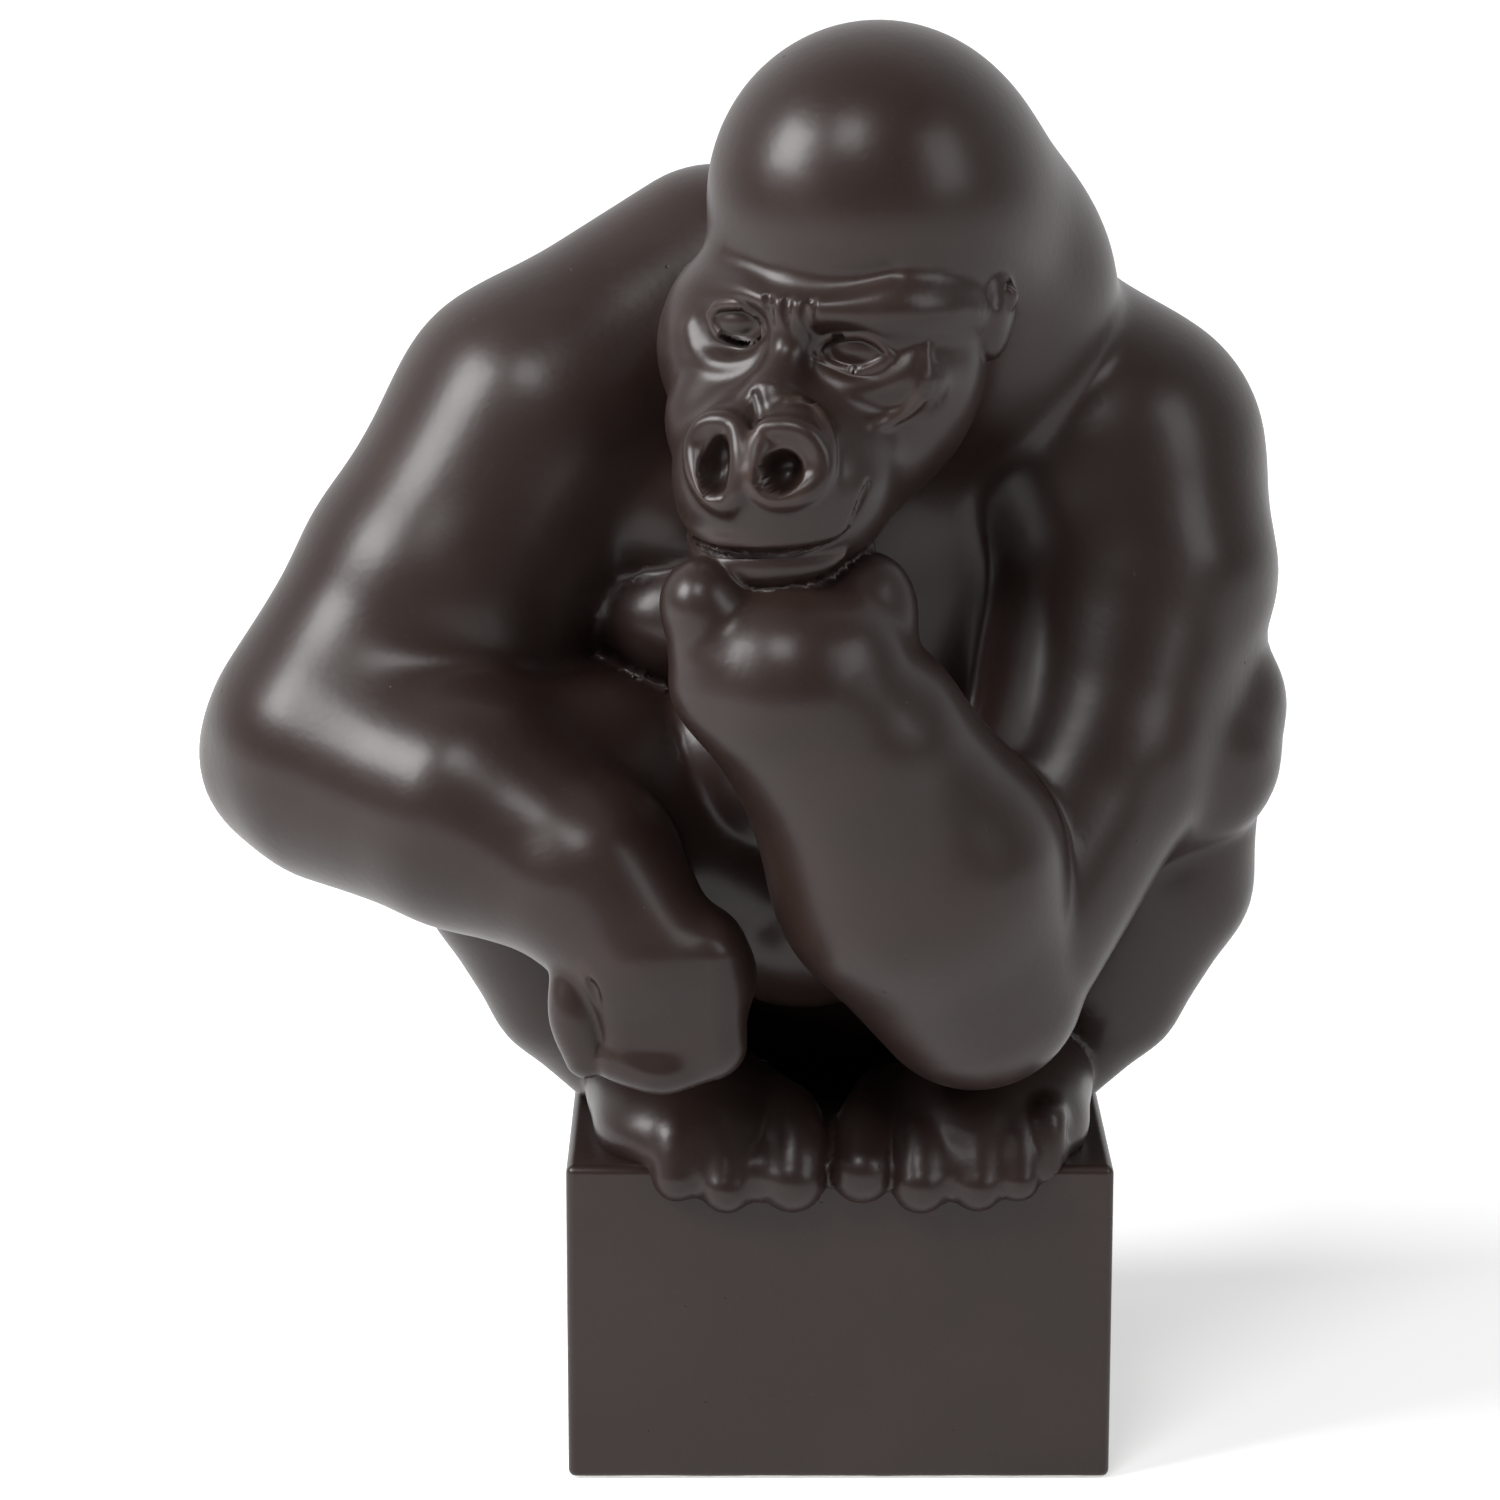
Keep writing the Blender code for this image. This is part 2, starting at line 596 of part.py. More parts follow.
def figure_sections():
    """The sections from the outermost inwards."""
    return {
        "left_ear": Section(ear_clay(1), 1.5, 0.0, ear_root(1)),
        "right_ear": Section(ear_clay(-1), 1.5, 0.0, ear_root(-1)),
        "left_hand": Section(left_hand_clay(), 2.5, plane=L_WRIST_PLANE),
        "right_hand": Section(right_hand_clay(), 6, plane=R_WRIST_PLANE),
        "left_forearm": Section(left_forearm_clay(), 5),
        "right_forearm": Section(right_forearm_clay(), 20, ELBOW_ALLOWANCE, plane=R_ELBOW_PLANE),
        "head": Section(head_clay(), 12, ARM_ALLOWANCE),
        "left_upper_arm": Section(left_upper_arm_clay(), 12, ARM_ALLOWANCE, plane=L_SHOULDER_PLANE),
        "right_upper_arm": Section(right_upper_arm_clay(), 12, ELBOW_ALLOWANCE,
                                   plane=R_SHOULDER_PLANE),
        "left_foot": Section(left_foot_clay(), 4),
        "right_foot": Section(right_foot_clay(), 4),
        "left_shin": Section(shin_clay(1), 4),
        "right_shin": Section(shin_clay(-1), 4),
        "left_thigh": Section(thigh_clay(1), 6),
        "right_thigh": Section(thigh_clay(-1), 6),
        "torso": Section(trunk_clay(), 0),
    }


def whole_distance(sections, points):
    """Distance to the whole figure, with a fillet at every joint."""
    field = np.full(len(points), FAR)
    for section in reversed(list(sections.values())):
        own = section.clay.distance(points)
        near = own < FAR
        field[near] = blend_union(field[near], own[near], section.fillet)
    return field


def probe(field, points):
    """A field's value and slope at every point, from the corners of a small tetrahedron."""
    corners = np.array([(1, 1, 1), (1, -1, -1), (-1, 1, -1), (-1, -1, 1)]) * PROBE
    values = np.stack([field(points + corner) for corner in corners], axis=1)
    return values.mean(1), values @ corners / (4.0 * PROBE * PROBE)


# From clay to closed meshes

def evaluated(obj):
    """The object's mesh with its modifiers applied."""
    graph = bpy.context.evaluated_depsgraph_get()
    mesh = bpy.data.meshes.new_from_object(obj.evaluated_get(graph))
    old = obj.data
    obj.modifiers.clear()
    obj.data = mesh
    bpy.data.meshes.remove(old)
    return obj


def new_object(name, bm):
    mesh = bpy.data.meshes.new(name)
    bm.to_mesh(mesh)
    bm.free()
    obj = bpy.data.objects.new(name, mesh)
    bpy.context.scene.collection.objects.link(obj)
    return obj


def remesh(obj, grain):
    modifier = obj.modifiers.new("Grain", "REMESH")
    modifier.mode = "VOXEL"
    modifier.voxel_size = grain
    return evaluated(obj)


def vertex_array(mesh):
    points = np.empty(len(mesh.vertices) * 3)
    mesh.vertices.foreach_get("co", points)
    return points.reshape(-1, 3)


def settle(obj, field, rounds=2, limit=4.0):
    """Move every vertex along the slope of a field until it lies where the field is zero."""
    points = vertex_array(obj.data)
    for _ in range(rounds):
        value, slope = probe(field, points)
        steep = np.maximum((slope * slope).sum(1), 0.2)
        points = points - np.clip(value / steep, -limit, limit)[:, None] * slope
    obj.data.vertices.foreach_set("co", points.ravel())
    obj.data.update()


def thin_out(obj, triangles, keep=""):
    """Collapse to about a number of triangles, fewest where the surface is flat."""
    obj.data.calc_loop_triangles()
    modifier = obj.modifiers.new("Thin", "DECIMATE")
    modifier.ratio = min(1.0, triangles / len(obj.data.loop_triangles))
    modifier.use_collapse_triangulate = True
    if keep:
        modifier.vertex_group = keep
        modifier.invert_vertex_group = True
        modifier.vertex_group_factor = DETAIL_COST
    return evaluated(obj)


def sculpt(sections):
    """The whole figure as one closed mesh, finer at the face, hands and feet."""
    bm = bmesh.new()
    for section in sections.values():
        section.clay.rough_out(bm)
    figure = remesh(new_object("figure", bm), FIRST_GRAIN)

    def surface(points):
        return whole_distance(sections, points)

    settle(figure, surface)
    remesh(figure, FINE_GRAIN)
    settle(figure, surface, rounds=3, limit=FINE_GRAIN)
    weigh_detail(figure, sections)
    return thin_out(figure, TRIANGLES, "detail")


def weigh_detail(figure, sections):
    """Weigh the vertices that are to keep their detail."""
    points = vertex_array(figure.data)
    fine = np.full(len(points), FAR)
    for name in ("left_ear", "right_ear", "left_hand", "right_hand", "left_foot", "right_foot"):
        fine = np.minimum(fine, sections[name].clay.distance(points))
    face = Ball(np.array(HEAD_PLACE) + (-20, -50, -25), (50, 45, 62)).distance(points)
    weight = np.where(face < 0.0, 0.9, np.where(fine < SEAM_ALLOWANCE, 0.5, 0.0))
    group = figure.vertex_groups.new(name="detail")
    for index, value in enumerate(weight):
        group.add([index], float(value), "REPLACE")


def mould(name, section):
    """A closed solid a little larger than a section, which parts it from its neighbours."""
    bm = bmesh.new()
    section.territory.rough_out(bm, section.allowance)
    obj = remesh(new_object(name + "_mould", bm), MOULD_GRAIN / 2.0)
    settle(obj, section.level(0.0))
    remesh(obj, MOULD_GRAIN)
    return thin_out(obj, MOULD_TRIANGLES)


def grown_mould(blank, section, gap):
    """The mould with its surface moved outwards by a gap and cut at the luting plane."""
    obj = copied(blank, blank.name + "_grown")
    settle(obj, section.level(gap), rounds=3)
    if section.plane:
        cut_off(obj, section.plane, gap)
    return obj


def cut_off(obj, plane, gap):
    """Cut a closed solid at the section's luting plane and close it there."""
    point, direction = Vector(plane[0]), Vector(plane[1]).normalized()
    bm = bmesh.new()
    bm.from_mesh(obj.data)
    geometry = bm.verts[:] + bm.edges[:] + bm.faces[:]
    cut = bmesh.ops.bisect_plane(bm, geom=geometry, dist=WELD, plane_co=point - direction * gap,
                                 plane_no=-direction, clear_outer=True)
    rim = [item for item in cut["geom_cut"] if isinstance(item, bmesh.types.BMEdge)]
    bmesh.ops.edgenet_fill(bm, edges=rim)
    bmesh.ops.recalc_face_normals(bm, faces=bm.faces[:])
    bm.to_mesh(obj.data)
    bm.free()


def boolean(obj, tool, operation):
    modifier = obj.modifiers.new(operation.title(), "BOOLEAN")
    modifier.operation = operation
    modifier.solver = "EXACT"
    modifier.object = tool
    return evaluated(obj)


def copied(obj, name):
    twin = bpy.data.objects.new(name, obj.data.copy())
    bpy.context.scene.collection.objects.link(twin)
    return twin


def clean(obj):
    """Triangulate, weld what lies together and keep the largest closed body."""
    bm = bmesh.new()
    bm.from_mesh(obj.data)
    bmesh.ops.triangulate(bm, faces=bm.faces[:])
    bmesh.ops.remove_doubles(bm, verts=bm.verts[:], dist=WELD)
    bmesh.ops.dissolve_degenerate(bm, dist=WELD, edges=bm.edges[:])
    bmesh.ops.triangulate(bm, faces=bm.faces[:])
    bodies = loose_bodies(bm)
    for body in bodies[1:]:
        bmesh.ops.delete(bm, geom=body, context="FACES")
    bm.to_mesh(obj.data)
    bm.free()
    return obj


def loose_bodies(bm):
    """Connected groups of faces, the one with the largest volume first."""
    left = set(bm.faces)
    bodies = []
    while left:
        wave = [left.pop()]
        body = list(wave)
        while wave:
            face = wave.pop()
            for edge in face.edges:
                for other in edge.link_faces:
                    if other in left:
                        left.remove(other)
                        wave.append(other)
                        body.append(other)
        bodies.append(body)
    return sorted(bodies, key=body_volume, reverse=True)


def body_volume(faces):
    return abs(sum(face.calc_center_median().dot(face.normal) * face.calc_area() for face in faces))


def part_sections(figure, sections):
    """Cut the figure at its moulds, with the luting gap between neighbours."""
    pieces = {}
    names = list(sections)
    for name in names[:-1]:
        blank = mould(name, sections[name])
        inside = grown_mould(blank, sections[name], 0.0)
        outside = grown_mould(blank, sections[name], SEAM_GAP)
        piece = boolean(copied(figure, name), inside, "INTERSECT")
        boolean(figure, outside, "DIFFERENCE")
        for tool in (blank, inside, outside):
            bpy.data.objects.remove(tool)
        pieces[name] = clean(piece)
    figure.name = names[-1]
    pieces[names[-1]] = clean(figure)
    return pieces


# Plinth

def plinth_blank(gap):
    """The plinth's block in the figure's axes, grown by a gap on every side."""
    bm = bmesh.new()
    size = (PLINTH_WIDTH + 2 * gap, PLINTH_DEPTH + 2 * gap, PLINTH_HEIGHT + 2 * gap)
    middle = Matrix.Translation((0.0, PLINTH_DEPTH / 2.0, -PLINTH_HEIGHT / 2.0))
    bmesh.ops.create_cube(bm, size=1.0, matrix=middle @ Matrix.Diagonal((*size, 1.0)))
    bmesh.ops.bevel(bm, geom=bm.edges[:], offset=PLINTH_EDGE, offset_type="OFFSET", segments=4,
                    profile=0.5, affect="EDGES", material=-1)
    return bm


def cutter(name, bm):
    obj = new_object(name, bm)
    obj.hide_render = True
    obj.display_type = "WIRE"
    return obj


def slab_bm(gap):
    """The slab that closes the underside, grown by a gap at its sides and top."""
    bm = bmesh.new()
    wide = PLINTH_WIDTH - 2.0 * PLINTH_WALL + 2.0 * gap
    deep = PLINTH_DEPTH - 2.0 * PLINTH_WALL + 2.0 * gap
    low = -PLINTH_HEIGHT - (1.0 if gap else 0.0)
    high = -PLINTH_HEIGHT + SLAB_HEIGHT + gap
    middle = Matrix.Translation((0.0, PLINTH_DEPTH / 2.0, (low + high) / 2.0))
    bmesh.ops.create_cube(bm, size=1.0, matrix=middle @ Matrix.Diagonal((wide, deep, high - low, 1.0)))
    upright = [edge for edge in bm.edges if abs(edge.verts[0].co.z - edge.verts[1].co.z) > 0.1]
    bmesh.ops.bevel(bm, geom=upright, offset=SLAB_CORNER + gap, offset_type="OFFSET", segments=6,
                    profile=0.5, affect="EDGES", material=-1)
    return bm


def vent_bm(depth):
    """The round vent through the slab and into the plinth."""
    bm = bmesh.new()
    low = -PLINTH_HEIGHT - 1.0
    middle = Matrix.Translation((0.0, PLINTH_DEPTH / 2.0 + VENT_BACK, low + (depth + 1.0) / 2.0))
    bmesh.ops.create_cone(bm, cap_ends=True, segments=32, radius1=VENT_DIAMETER / 2.0,
                          radius2=VENT_DIAMETER / 2.0, depth=depth + 1.0, matrix=middle)
    return bm


def build_plinth():
    plinth = new_object("plinth", plinth_blank(0.0))
    recess = cutter("slab_recess", slab_bm(SEAM_GAP))
    vent = cutter("vent", vent_bm(VENT_DEPTH))
    boolean(plinth, recess, "DIFFERENCE")
    boolean(plinth, vent, "DIFFERENCE")
    slab = new_object("underside_slab", slab_bm(0.0))
    boolean(slab, vent, "DIFFERENCE")
    bpy.data.objects.remove(recess)
    bpy.data.objects.remove(vent)
    return {"plinth": clean(plinth), "underside_slab": clean(slab)}


def rest_on_plinth(figure):
    """Cut the figure where it stands on the plinth and hooks over its edge."""
    block = cutter("plinth_rest", plinth_blank(SEAM_GAP))
    boolean(figure, block, "DIFFERENCE")
    bpy.data.objects.remove(block)
    return clean(figure)


# Finish

def principled(name, colour, roughness):
    material = bpy.data.materials.new(name)
    material.use_nodes = True
    shader = material.node_tree.nodes["Principled BSDF"]
    shader.inputs["Base Color"].default_value = colour
    shader.inputs["Roughness"].default_value = roughness
    shader.inputs["Metallic"].default_value = 0.0
    return material


def finish(obj):
    """Metres, the plinth's underside at the ground and its own glaze or bare porcelain."""
    lift = Matrix.Translation((0.0, -PLINTH_DEPTH / 2.0, PLINTH_HEIGHT))
    obj.data.transform(Matrix.Scale(MM, 4) @ lift)
    obj.data.shade_smooth()
    obj.data.set_sharp_from_angle(angle=math.radians(40.0))
    obj.data.materials.clear()
    if obj.name == "underside_slab":
        obj.data.materials.append(principled(obj.name + "_bisque", BISQUE_COLOUR, 0.75))
    else:
        obj.data.materials.append(principled(obj.name + "_glaze", GLAZE_COLOUR, 0.33))


def main():
    for obj in list(bpy.data.objects):
        bpy.data.objects.remove(obj)
    sections = figure_sections()
    figure = rest_on_plinth(sculpt(sections))
    pieces = part_sections(figure, sections)
    pieces.update(build_plinth())
    for obj in pieces.values():
        finish(obj)


main()
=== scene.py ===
"""Looks of the porcelain gorilla figurine, laid out as a Blender add-on and run as a script.

The figure is modelled as clay: masses are laid on and tooled away as distance fields, a remeshed
blank is settled on to their surface, and the blank is parted into the cast sections that stand
for the CAD nodes. The clay's lengths are millimetres from the middle of the plinth's top front
edge, x to the viewer's right, y towards the back, z up. The figure's right is the viewer's left.
"""

import math

import bmesh
import bpy
import numpy as np
from mathutils import Matrix, Vector


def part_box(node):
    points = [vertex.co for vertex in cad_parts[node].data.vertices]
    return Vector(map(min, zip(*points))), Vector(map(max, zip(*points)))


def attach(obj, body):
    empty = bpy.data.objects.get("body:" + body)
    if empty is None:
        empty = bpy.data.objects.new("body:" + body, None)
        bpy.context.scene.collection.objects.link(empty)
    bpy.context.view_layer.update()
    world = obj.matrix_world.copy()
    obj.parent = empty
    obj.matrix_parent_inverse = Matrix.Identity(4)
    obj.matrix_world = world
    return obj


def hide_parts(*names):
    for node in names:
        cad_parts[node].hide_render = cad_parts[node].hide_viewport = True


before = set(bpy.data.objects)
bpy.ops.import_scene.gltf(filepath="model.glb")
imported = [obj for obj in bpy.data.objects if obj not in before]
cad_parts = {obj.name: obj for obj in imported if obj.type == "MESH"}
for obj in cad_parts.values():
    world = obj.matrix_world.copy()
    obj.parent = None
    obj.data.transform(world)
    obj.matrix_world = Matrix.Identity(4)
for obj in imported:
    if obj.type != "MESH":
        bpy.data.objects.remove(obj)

bl_info = {
    "name": "Porcelain gorilla figurine",
    "version": (1, 0, 0),
    "blender": (4, 5, 0),
    "location": "View3D > Sidebar > Figurine",
    "description": "Models and glazes a porcelain gorilla that squats on a square plinth",
    "category": "Object",
}

MM = 0.001
PLINTH_LOW, PLINTH_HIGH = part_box("plinth")
ORIGIN = np.array(((PLINTH_LOW[0] + PLINTH_HIGH[0]) / 2.0, PLINTH_LOW[1], PLINTH_HIGH[2]))
PLINTH_WIDTH, PLINTH_DEPTH, PLINTH_HEIGHT = (
    (PLINTH_HIGH[i] - PLINTH_LOW[i]) / MM for i in range(3))
PLINTH_EDGE = 2.5

# How far a section's territory reaches beyond its own clay
SEAM_ALLOWANCE = 2.5
ARM_ALLOWANCE = 5.5
ELBOW_ALLOWANCE = 8.0

# Head: where it sits, and how it turns and nods in degrees
HEAD_PLACE = (3.0, 20.0, 246.5)
HEAD_YAW = -23.0
HEAD_NOD = 3.0
HEAD_TILT = 1.0
DOME_RADII = (44.5, 48.0, 46.5)
NAPE_RADII = (47.0, 42.0, 47.0)
MUZZLE_RADII = (29.0, 27.0, 25.0)

# Face, in the head's axes: eyeball x, z and tilt, and points along each fold
R_EYE = (-16.6, -10.8, 6)
L_EYE = (15.2, -15.6, -4)
R_UPPER_LID = ((-24.3, -39.5, -9.6), (-22.1, -40.2, -7), (-18.4, -41.4, -5.7),
               (-14.3, -42.4, -5.5), (-10.9, -41.8, -7.4), (-7.9, -42, -11.3))
R_LOWER_LID = ((-24.3, -39.5, -9.6), (-22.9, -39.8, -12.5), (-20.5, -40.4, -14.3),
               (-16.3, -41, -15.5), (-12.1, -41.6, -15.3), (-8.1, -42, -12.2))
R_POUCH = ((-31, -37, -14), (-27.4, -39.5, -19.7), (-20.8, -42.8, -22), (-13.5, -43.8, -21.4),
           (-9, -44, -19.2), (-7.2, -44, -16))
L_UPPER_LID = ((6.4, -42, -15.7), (9, -41.8, -12.5), (13.8, -41.6, -11.2), (18.9, -41.2, -10.9),
               (22.5, -39.5, -12.9), (25, -37.8, -16.1))
L_LOWER_LID = ((6.4, -42, -15.7), (9.2, -41.4, -19), (13.6, -41.2, -20.5), (18.5, -40.8, -20.5),
               (22.5, -39.4, -18.9), (25, -37.8, -16.5))
L_POUCH = ((7.2, -42.5, -20), (11, -42.8, -23), (17, -41.8, -25), (22.7, -38.8, -24.7),
           (27.8, -36.8, -22), (31.2, -34, -17))
FURROW = ((-23.7, -34.6, 5.7), (-14.7, -39.3, 4.6), (-5.9, -43.4, 2.1), (3.8, -44.1, 1.4),
          (15.1, -41.3, 2.1), (25.3, -35.3, 4.6))
FROWN_FOLDS = (((-5.9, -45.7, -0.2), (-5.1, -47, -3.9), (-4, -47, -8.3), (-2.6, -47.3, -12)),
               ((0.6, -45.8, 0.2), (0.2, -47.6, -3.3), (0.7, -47.9, -7.7), (2, -47.2, -11.8)),
               ((6.8, -45.5, -0.2), (6.2, -47, -3.1), (6.1, -47.2, -7.4), (6.7, -44.5, -11.2)))
CHEEK_FOLD = ((33.5, -32.5, -14.3), (34.2, -34.6, -20.8), (33.2, -36.2, -25.8), (29.6, -37, -30.5),
              (25.6, -40, -33), (22.5, -45, -33.8))
NOSE_WING = ((5.6, -59, -26), (8.1, -57, -26), (11.2, -56.4, -27), (15.6, -60.2, -29.8),
             (18.4, -62.6, -35.1), (19.4, -64, -41.5))
R_NOSTRIL_RIM = ((-10, -66.3, -31), (-15.2, -65.6, -33), (-17.5, -66.4, -38.5), (-15, -70, -44.5),
                 (-10, -72.6, -49), (-5.2, -73.5, -50), (-2.3, -73.8, -46.4), (-2.6, -71.2, -37.9),
                 (-5.6, -67.2, -32.2))
L_NOSTRIL_RIM = ((2.1, -67.6, -33), (7.8, -66.8, -31), (13.3, -66, -32.2), (16.9, -65.4, -37.1),
                 (17.5, -66.4, -42.5), (15, -69, -46.2), (10.1, -71.8, -47.9), (5.1, -73.2, -47),
                 (2, -73, -42.2))
R_NOSTRIL = ((-9.6, -73, -41.0), (4.6, 9, 7.8))
L_NOSTRIL = ((8.4, -72, -41.6), (5.4, 9, 5.6))

# How much deeper than the left ear the right one is luted in
EAR_SINK = 6.0
MUZZLE_FOLD = ((26.2, -56, -46), (25.1, -59, -51.4), (23.1, -60.4, -56.6))
MOUTH_LINE = ((-23.8, -60, -60), (-17.8, -65.3, -63.3), (-8.7, -70.4, -63.8), (-1.9, -71.3, -63.4),
              (5, -70.2, -62.9), (11, -67.9, -62.6), (15.8, -65.2, -61.8), (19.8, -62, -60.3),
              (22.3, -60, -57.4))

# Trunk
PELVIS = ((0, 104, 44), (64, 44, 46))
LOINS = ((-2, 98, 96), (58, 47, 50))
R_FLANK = ((-50, 72, 116), (26, 26, 26))
BELLY = ((-6, 70, 88), (54, 44, 56))
RIBCAGE = ((-6, 90, 146), (76, 54, 74))
R_BREAST = ((-45, 57, 173), (33, 27, 24))
LOW_BELLY = ((-10, 42, 62), (32, 26, 28))
UPPER_BELLY = ((-35, 45, 144), (31, 22, 20))
BELLY_DOME = ((-20, 39, 105), (36, 29, 29))
SHOULDERS = ((-2, 92, 188), (92, 44, 48))
NECK_TOP = (16, 62, 226, 46)
NECK_ROOT = (0, 84, 196, 52)

# Limb stations: x, y, z and radius
R_TRAPEZIUS = (-34, 84, 230, 34)
R_SHOULDER = (-81, 68, 192, 42.5)
R_BICEPS = (-108, 54, 150, 42)
R_ELBOW = (-138, 42, 114, 34)
R_FOREARM_TOP = (-134, 34, 108, 36)
R_FOREARM_MID = (-100, 10, 100, 34)
R_WRIST = (-68, -11, 86, 25)
R_PALM = (-54, -20, 68, 20)
L_TRAPEZIUS = (43, 84, 215, 34)
L_SHOULDER = (75, 72, 184, 42)
L_BICEPS = (82, 60, 154, 39)
L_TRICEPS = (70, 34, 108, 32)
L_ARM_LOW = (46, 6, 68, 28)
L_ELBOW = (36, -2, 54, 30)
L_FOREARM_LOW = (20, -12, 88, 39)
L_FOREARM_MID = (2, -26, 124, 31)
L_WRIST = (-13, -35, 142, 27)
R_THIGH_FRONT = (-70, 36, 95, 35)
R_THIGH_INNER = (-30, 38, 75, 24)
THIGH = ((43, 80, 64, 38), (95, 52, 104, 27), (98, 56, 108, 24), (102, 58, 117, 23))
SHIN = ((96, 60, 88, 22), (90, 63, 66, 27), (76, 66, 34, 23), (60, 70, 10, 17))

# Luting planes: a point on each and the direction into the outer section
R_SHOULDER_PLANE = ((-95, 63, 174), (-31, -12, -40))
L_SHOULDER_PLANE = ((79, 66, 168), (7, -12, -30))
R_ELBOW_PLANE = ((-141, 44, 114), (20, -81, -101))
R_WRIST_PLANE = ((-62, -14, 79), (16, -10, -17))
L_WRIST_PLANE = ((-4, -30, 130), (-15, -9, 18))

# Toes: x, front, lowest point, radius and where the toe leaves the foot
R_TOES = ((-44.5, -7, -10, 7.2, -46), (-31, -10, -12.5, 7.4, -33),
          (-13, -11, -12.5, 9.4, -17))
L_TOES = ((22, -11, -12.5, 8.4, 23), (37.5, -10, -12, 7.6, 36),
          (48.5, -8, -9.5, 6.4, 47), (56.5, -3, -5.5, 5.2, 56))

# How far soles sink under the plinth's glaze, and the reach at which ridges are felt for the
# glaze's painted highlight
SOLE_SINK = 0.5
RIDGE_REACH = 3.0

# Spacing at which the normals are felt, which softens the tooling as a thick glaze does
SOFTENING = 0.45

# Middles of the slot beside the right thumb and of the fist under the chin, with their reach
THUMB_SLOT = (-66.0, -34.0, 57.0, 18.0)
CHIN_REST = (-20.0, -42.0, 170.0, 26.0)

# Width of the first blank's quads, before the clay's surface is laid out evenly
ROUGH_GRAIN = 4.0

# Reach of the clay's distance field, a value beyond it, and the spacing at which it is probed
BAND = 10.0
FAR = 1000.0
PROBE = 0.15

# Fillets narrower than this belong to fine tooling, such as a lid or the line of the mouth
FINE_FILLET = 2.2


def turn(yaw=0.0, pitch=0.0, roll=0.0):
    """Rotation from degrees: roll about y, then pitch about x, then yaw about z."""
    matrix = (Matrix.Rotation(math.radians(yaw), 3, "Z")
              @ Matrix.Rotation(math.radians(pitch), 3, "X")
              @ Matrix.Rotation(math.radians(roll), 3, "Y"))
    return np.array(matrix)


HEAD_AXES = turn(HEAD_YAW, HEAD_NOD, HEAD_TILT)


def on_head(points):
    """Points of the figure in the head's axes."""
    return (points - np.array(HEAD_PLACE)) @ HEAD_AXES


def placed(centre, axes, size=(1.0, 1.0, 1.0)):
    """A 4x4 matrix for a primitive: its centre, its axes and its size along them."""
    matrix = Matrix(axes.tolist()).to_4x4() @ Matrix.Diagonal((*size, 1.0))
    matrix.translation = Vector(centre)
    return matrix


def blend_union(a, b, width):
    """Smaller of two distances, with a rounded fillet where they are alike."""
    if width <= 0.0:
        return np.minimum(a, b)
    share = np.maximum(width - np.abs(a - b), 0.0) / width
    return np.minimum(a, b) - share ** 3 * width / 6.0


class Ball:
    """An ellipsoid of clay."""

    def __init__(self, centre, radii, yaw=0.0, pitch=0.0, roll=0.0):
        self.centre = np.array(centre, float)
        self.radii = np.array(radii, float)
        self.axes = turn(yaw, pitch, roll)
        self.reach = float(self.radii.max())

    def distance(self, points):
        local = (points - self.centre) @ self.axes
        near = np.sqrt(((local / self.radii) ** 2).sum(1))
        slope = np.sqrt(((local / self.radii ** 2) ** 2).sum(1))
        return near * (near - 1.0) / np.maximum(slope, 1e-9)

    def rough_out(self, bm, axes, origin):
        bmesh.ops.create_icosphere(bm, subdivisions=3, radius=1.0, matrix=placed(
            axes @ self.centre + origin, axes @ self.axes, self.radii))


class Limb:
    """A tapered limb between two round ends, each given as x, y, z and radius."""

    def __init__(self, start, end):
        self.a, self.ra = np.array(start[:3], float), float(start[3])
        self.b, self.rb = np.array(end[:3], float), float(end[3])
        self.centre = (self.a + self.b) / 2.0
        self.reach = float(np.linalg.norm(self.a - self.b)) / 2.0 + max(self.ra, self.rb)

    def distance(self, points):
        run = self.b - self.a
        length2 = run @ run
        taper = self.ra - self.rb
        cone2 = length2 - taper * taper
        if cone2 <= 1e-6:
            centre, radius = (self.a, self.ra) if self.ra > self.rb else (self.b, self.rb)
            return np.linalg.norm(points - centre, axis=1) - radius
        offset = points - self.a
        along = offset @ run
        beyond = along - length2
        side2 = ((offset * length2 - np.outer(along, run)) ** 2).sum(1)
        lean = np.sign(taper) * taper * taper * side2
        result = (np.sqrt(side2 * cone2 / length2) + along * taper) / length2 - self.ra
        far = np.sign(beyond) * cone2 * beyond * beyond * length2 > lean
        near = ~far & (np.sign(along) * cone2 * along * along * length2 < lean)
        result[far] = np.sqrt(side2[far] + beyond[far] ** 2 * length2) / length2 - self.rb
        result[near] = np.sqrt(side2[near] + along[near] ** 2 * length2) / length2 - self.ra
        return result

    def rough_out(self, bm, axes, origin):
        a, b = axes @ self.a + origin, axes @ self.b + origin
        for centre, radius in ((a, self.ra), (b, self.rb)):
            bmesh.ops.create_icosphere(bm, subdivisions=3, radius=radius,
                                       matrix=Matrix.Translation(Vector(centre)))
        run = Vector(b - a)
        if run.length > abs(self.ra - self.rb):
            lie = run.to_track_quat("Z", "Y").to_matrix().to_4x4()
            lie.translation = Vector((a + b) / 2.0)
            bmesh.ops.create_cone(bm, cap_ends=True, segments=32, radius1=self.ra,
                                  radius2=self.rb, depth=run.length, matrix=lie)


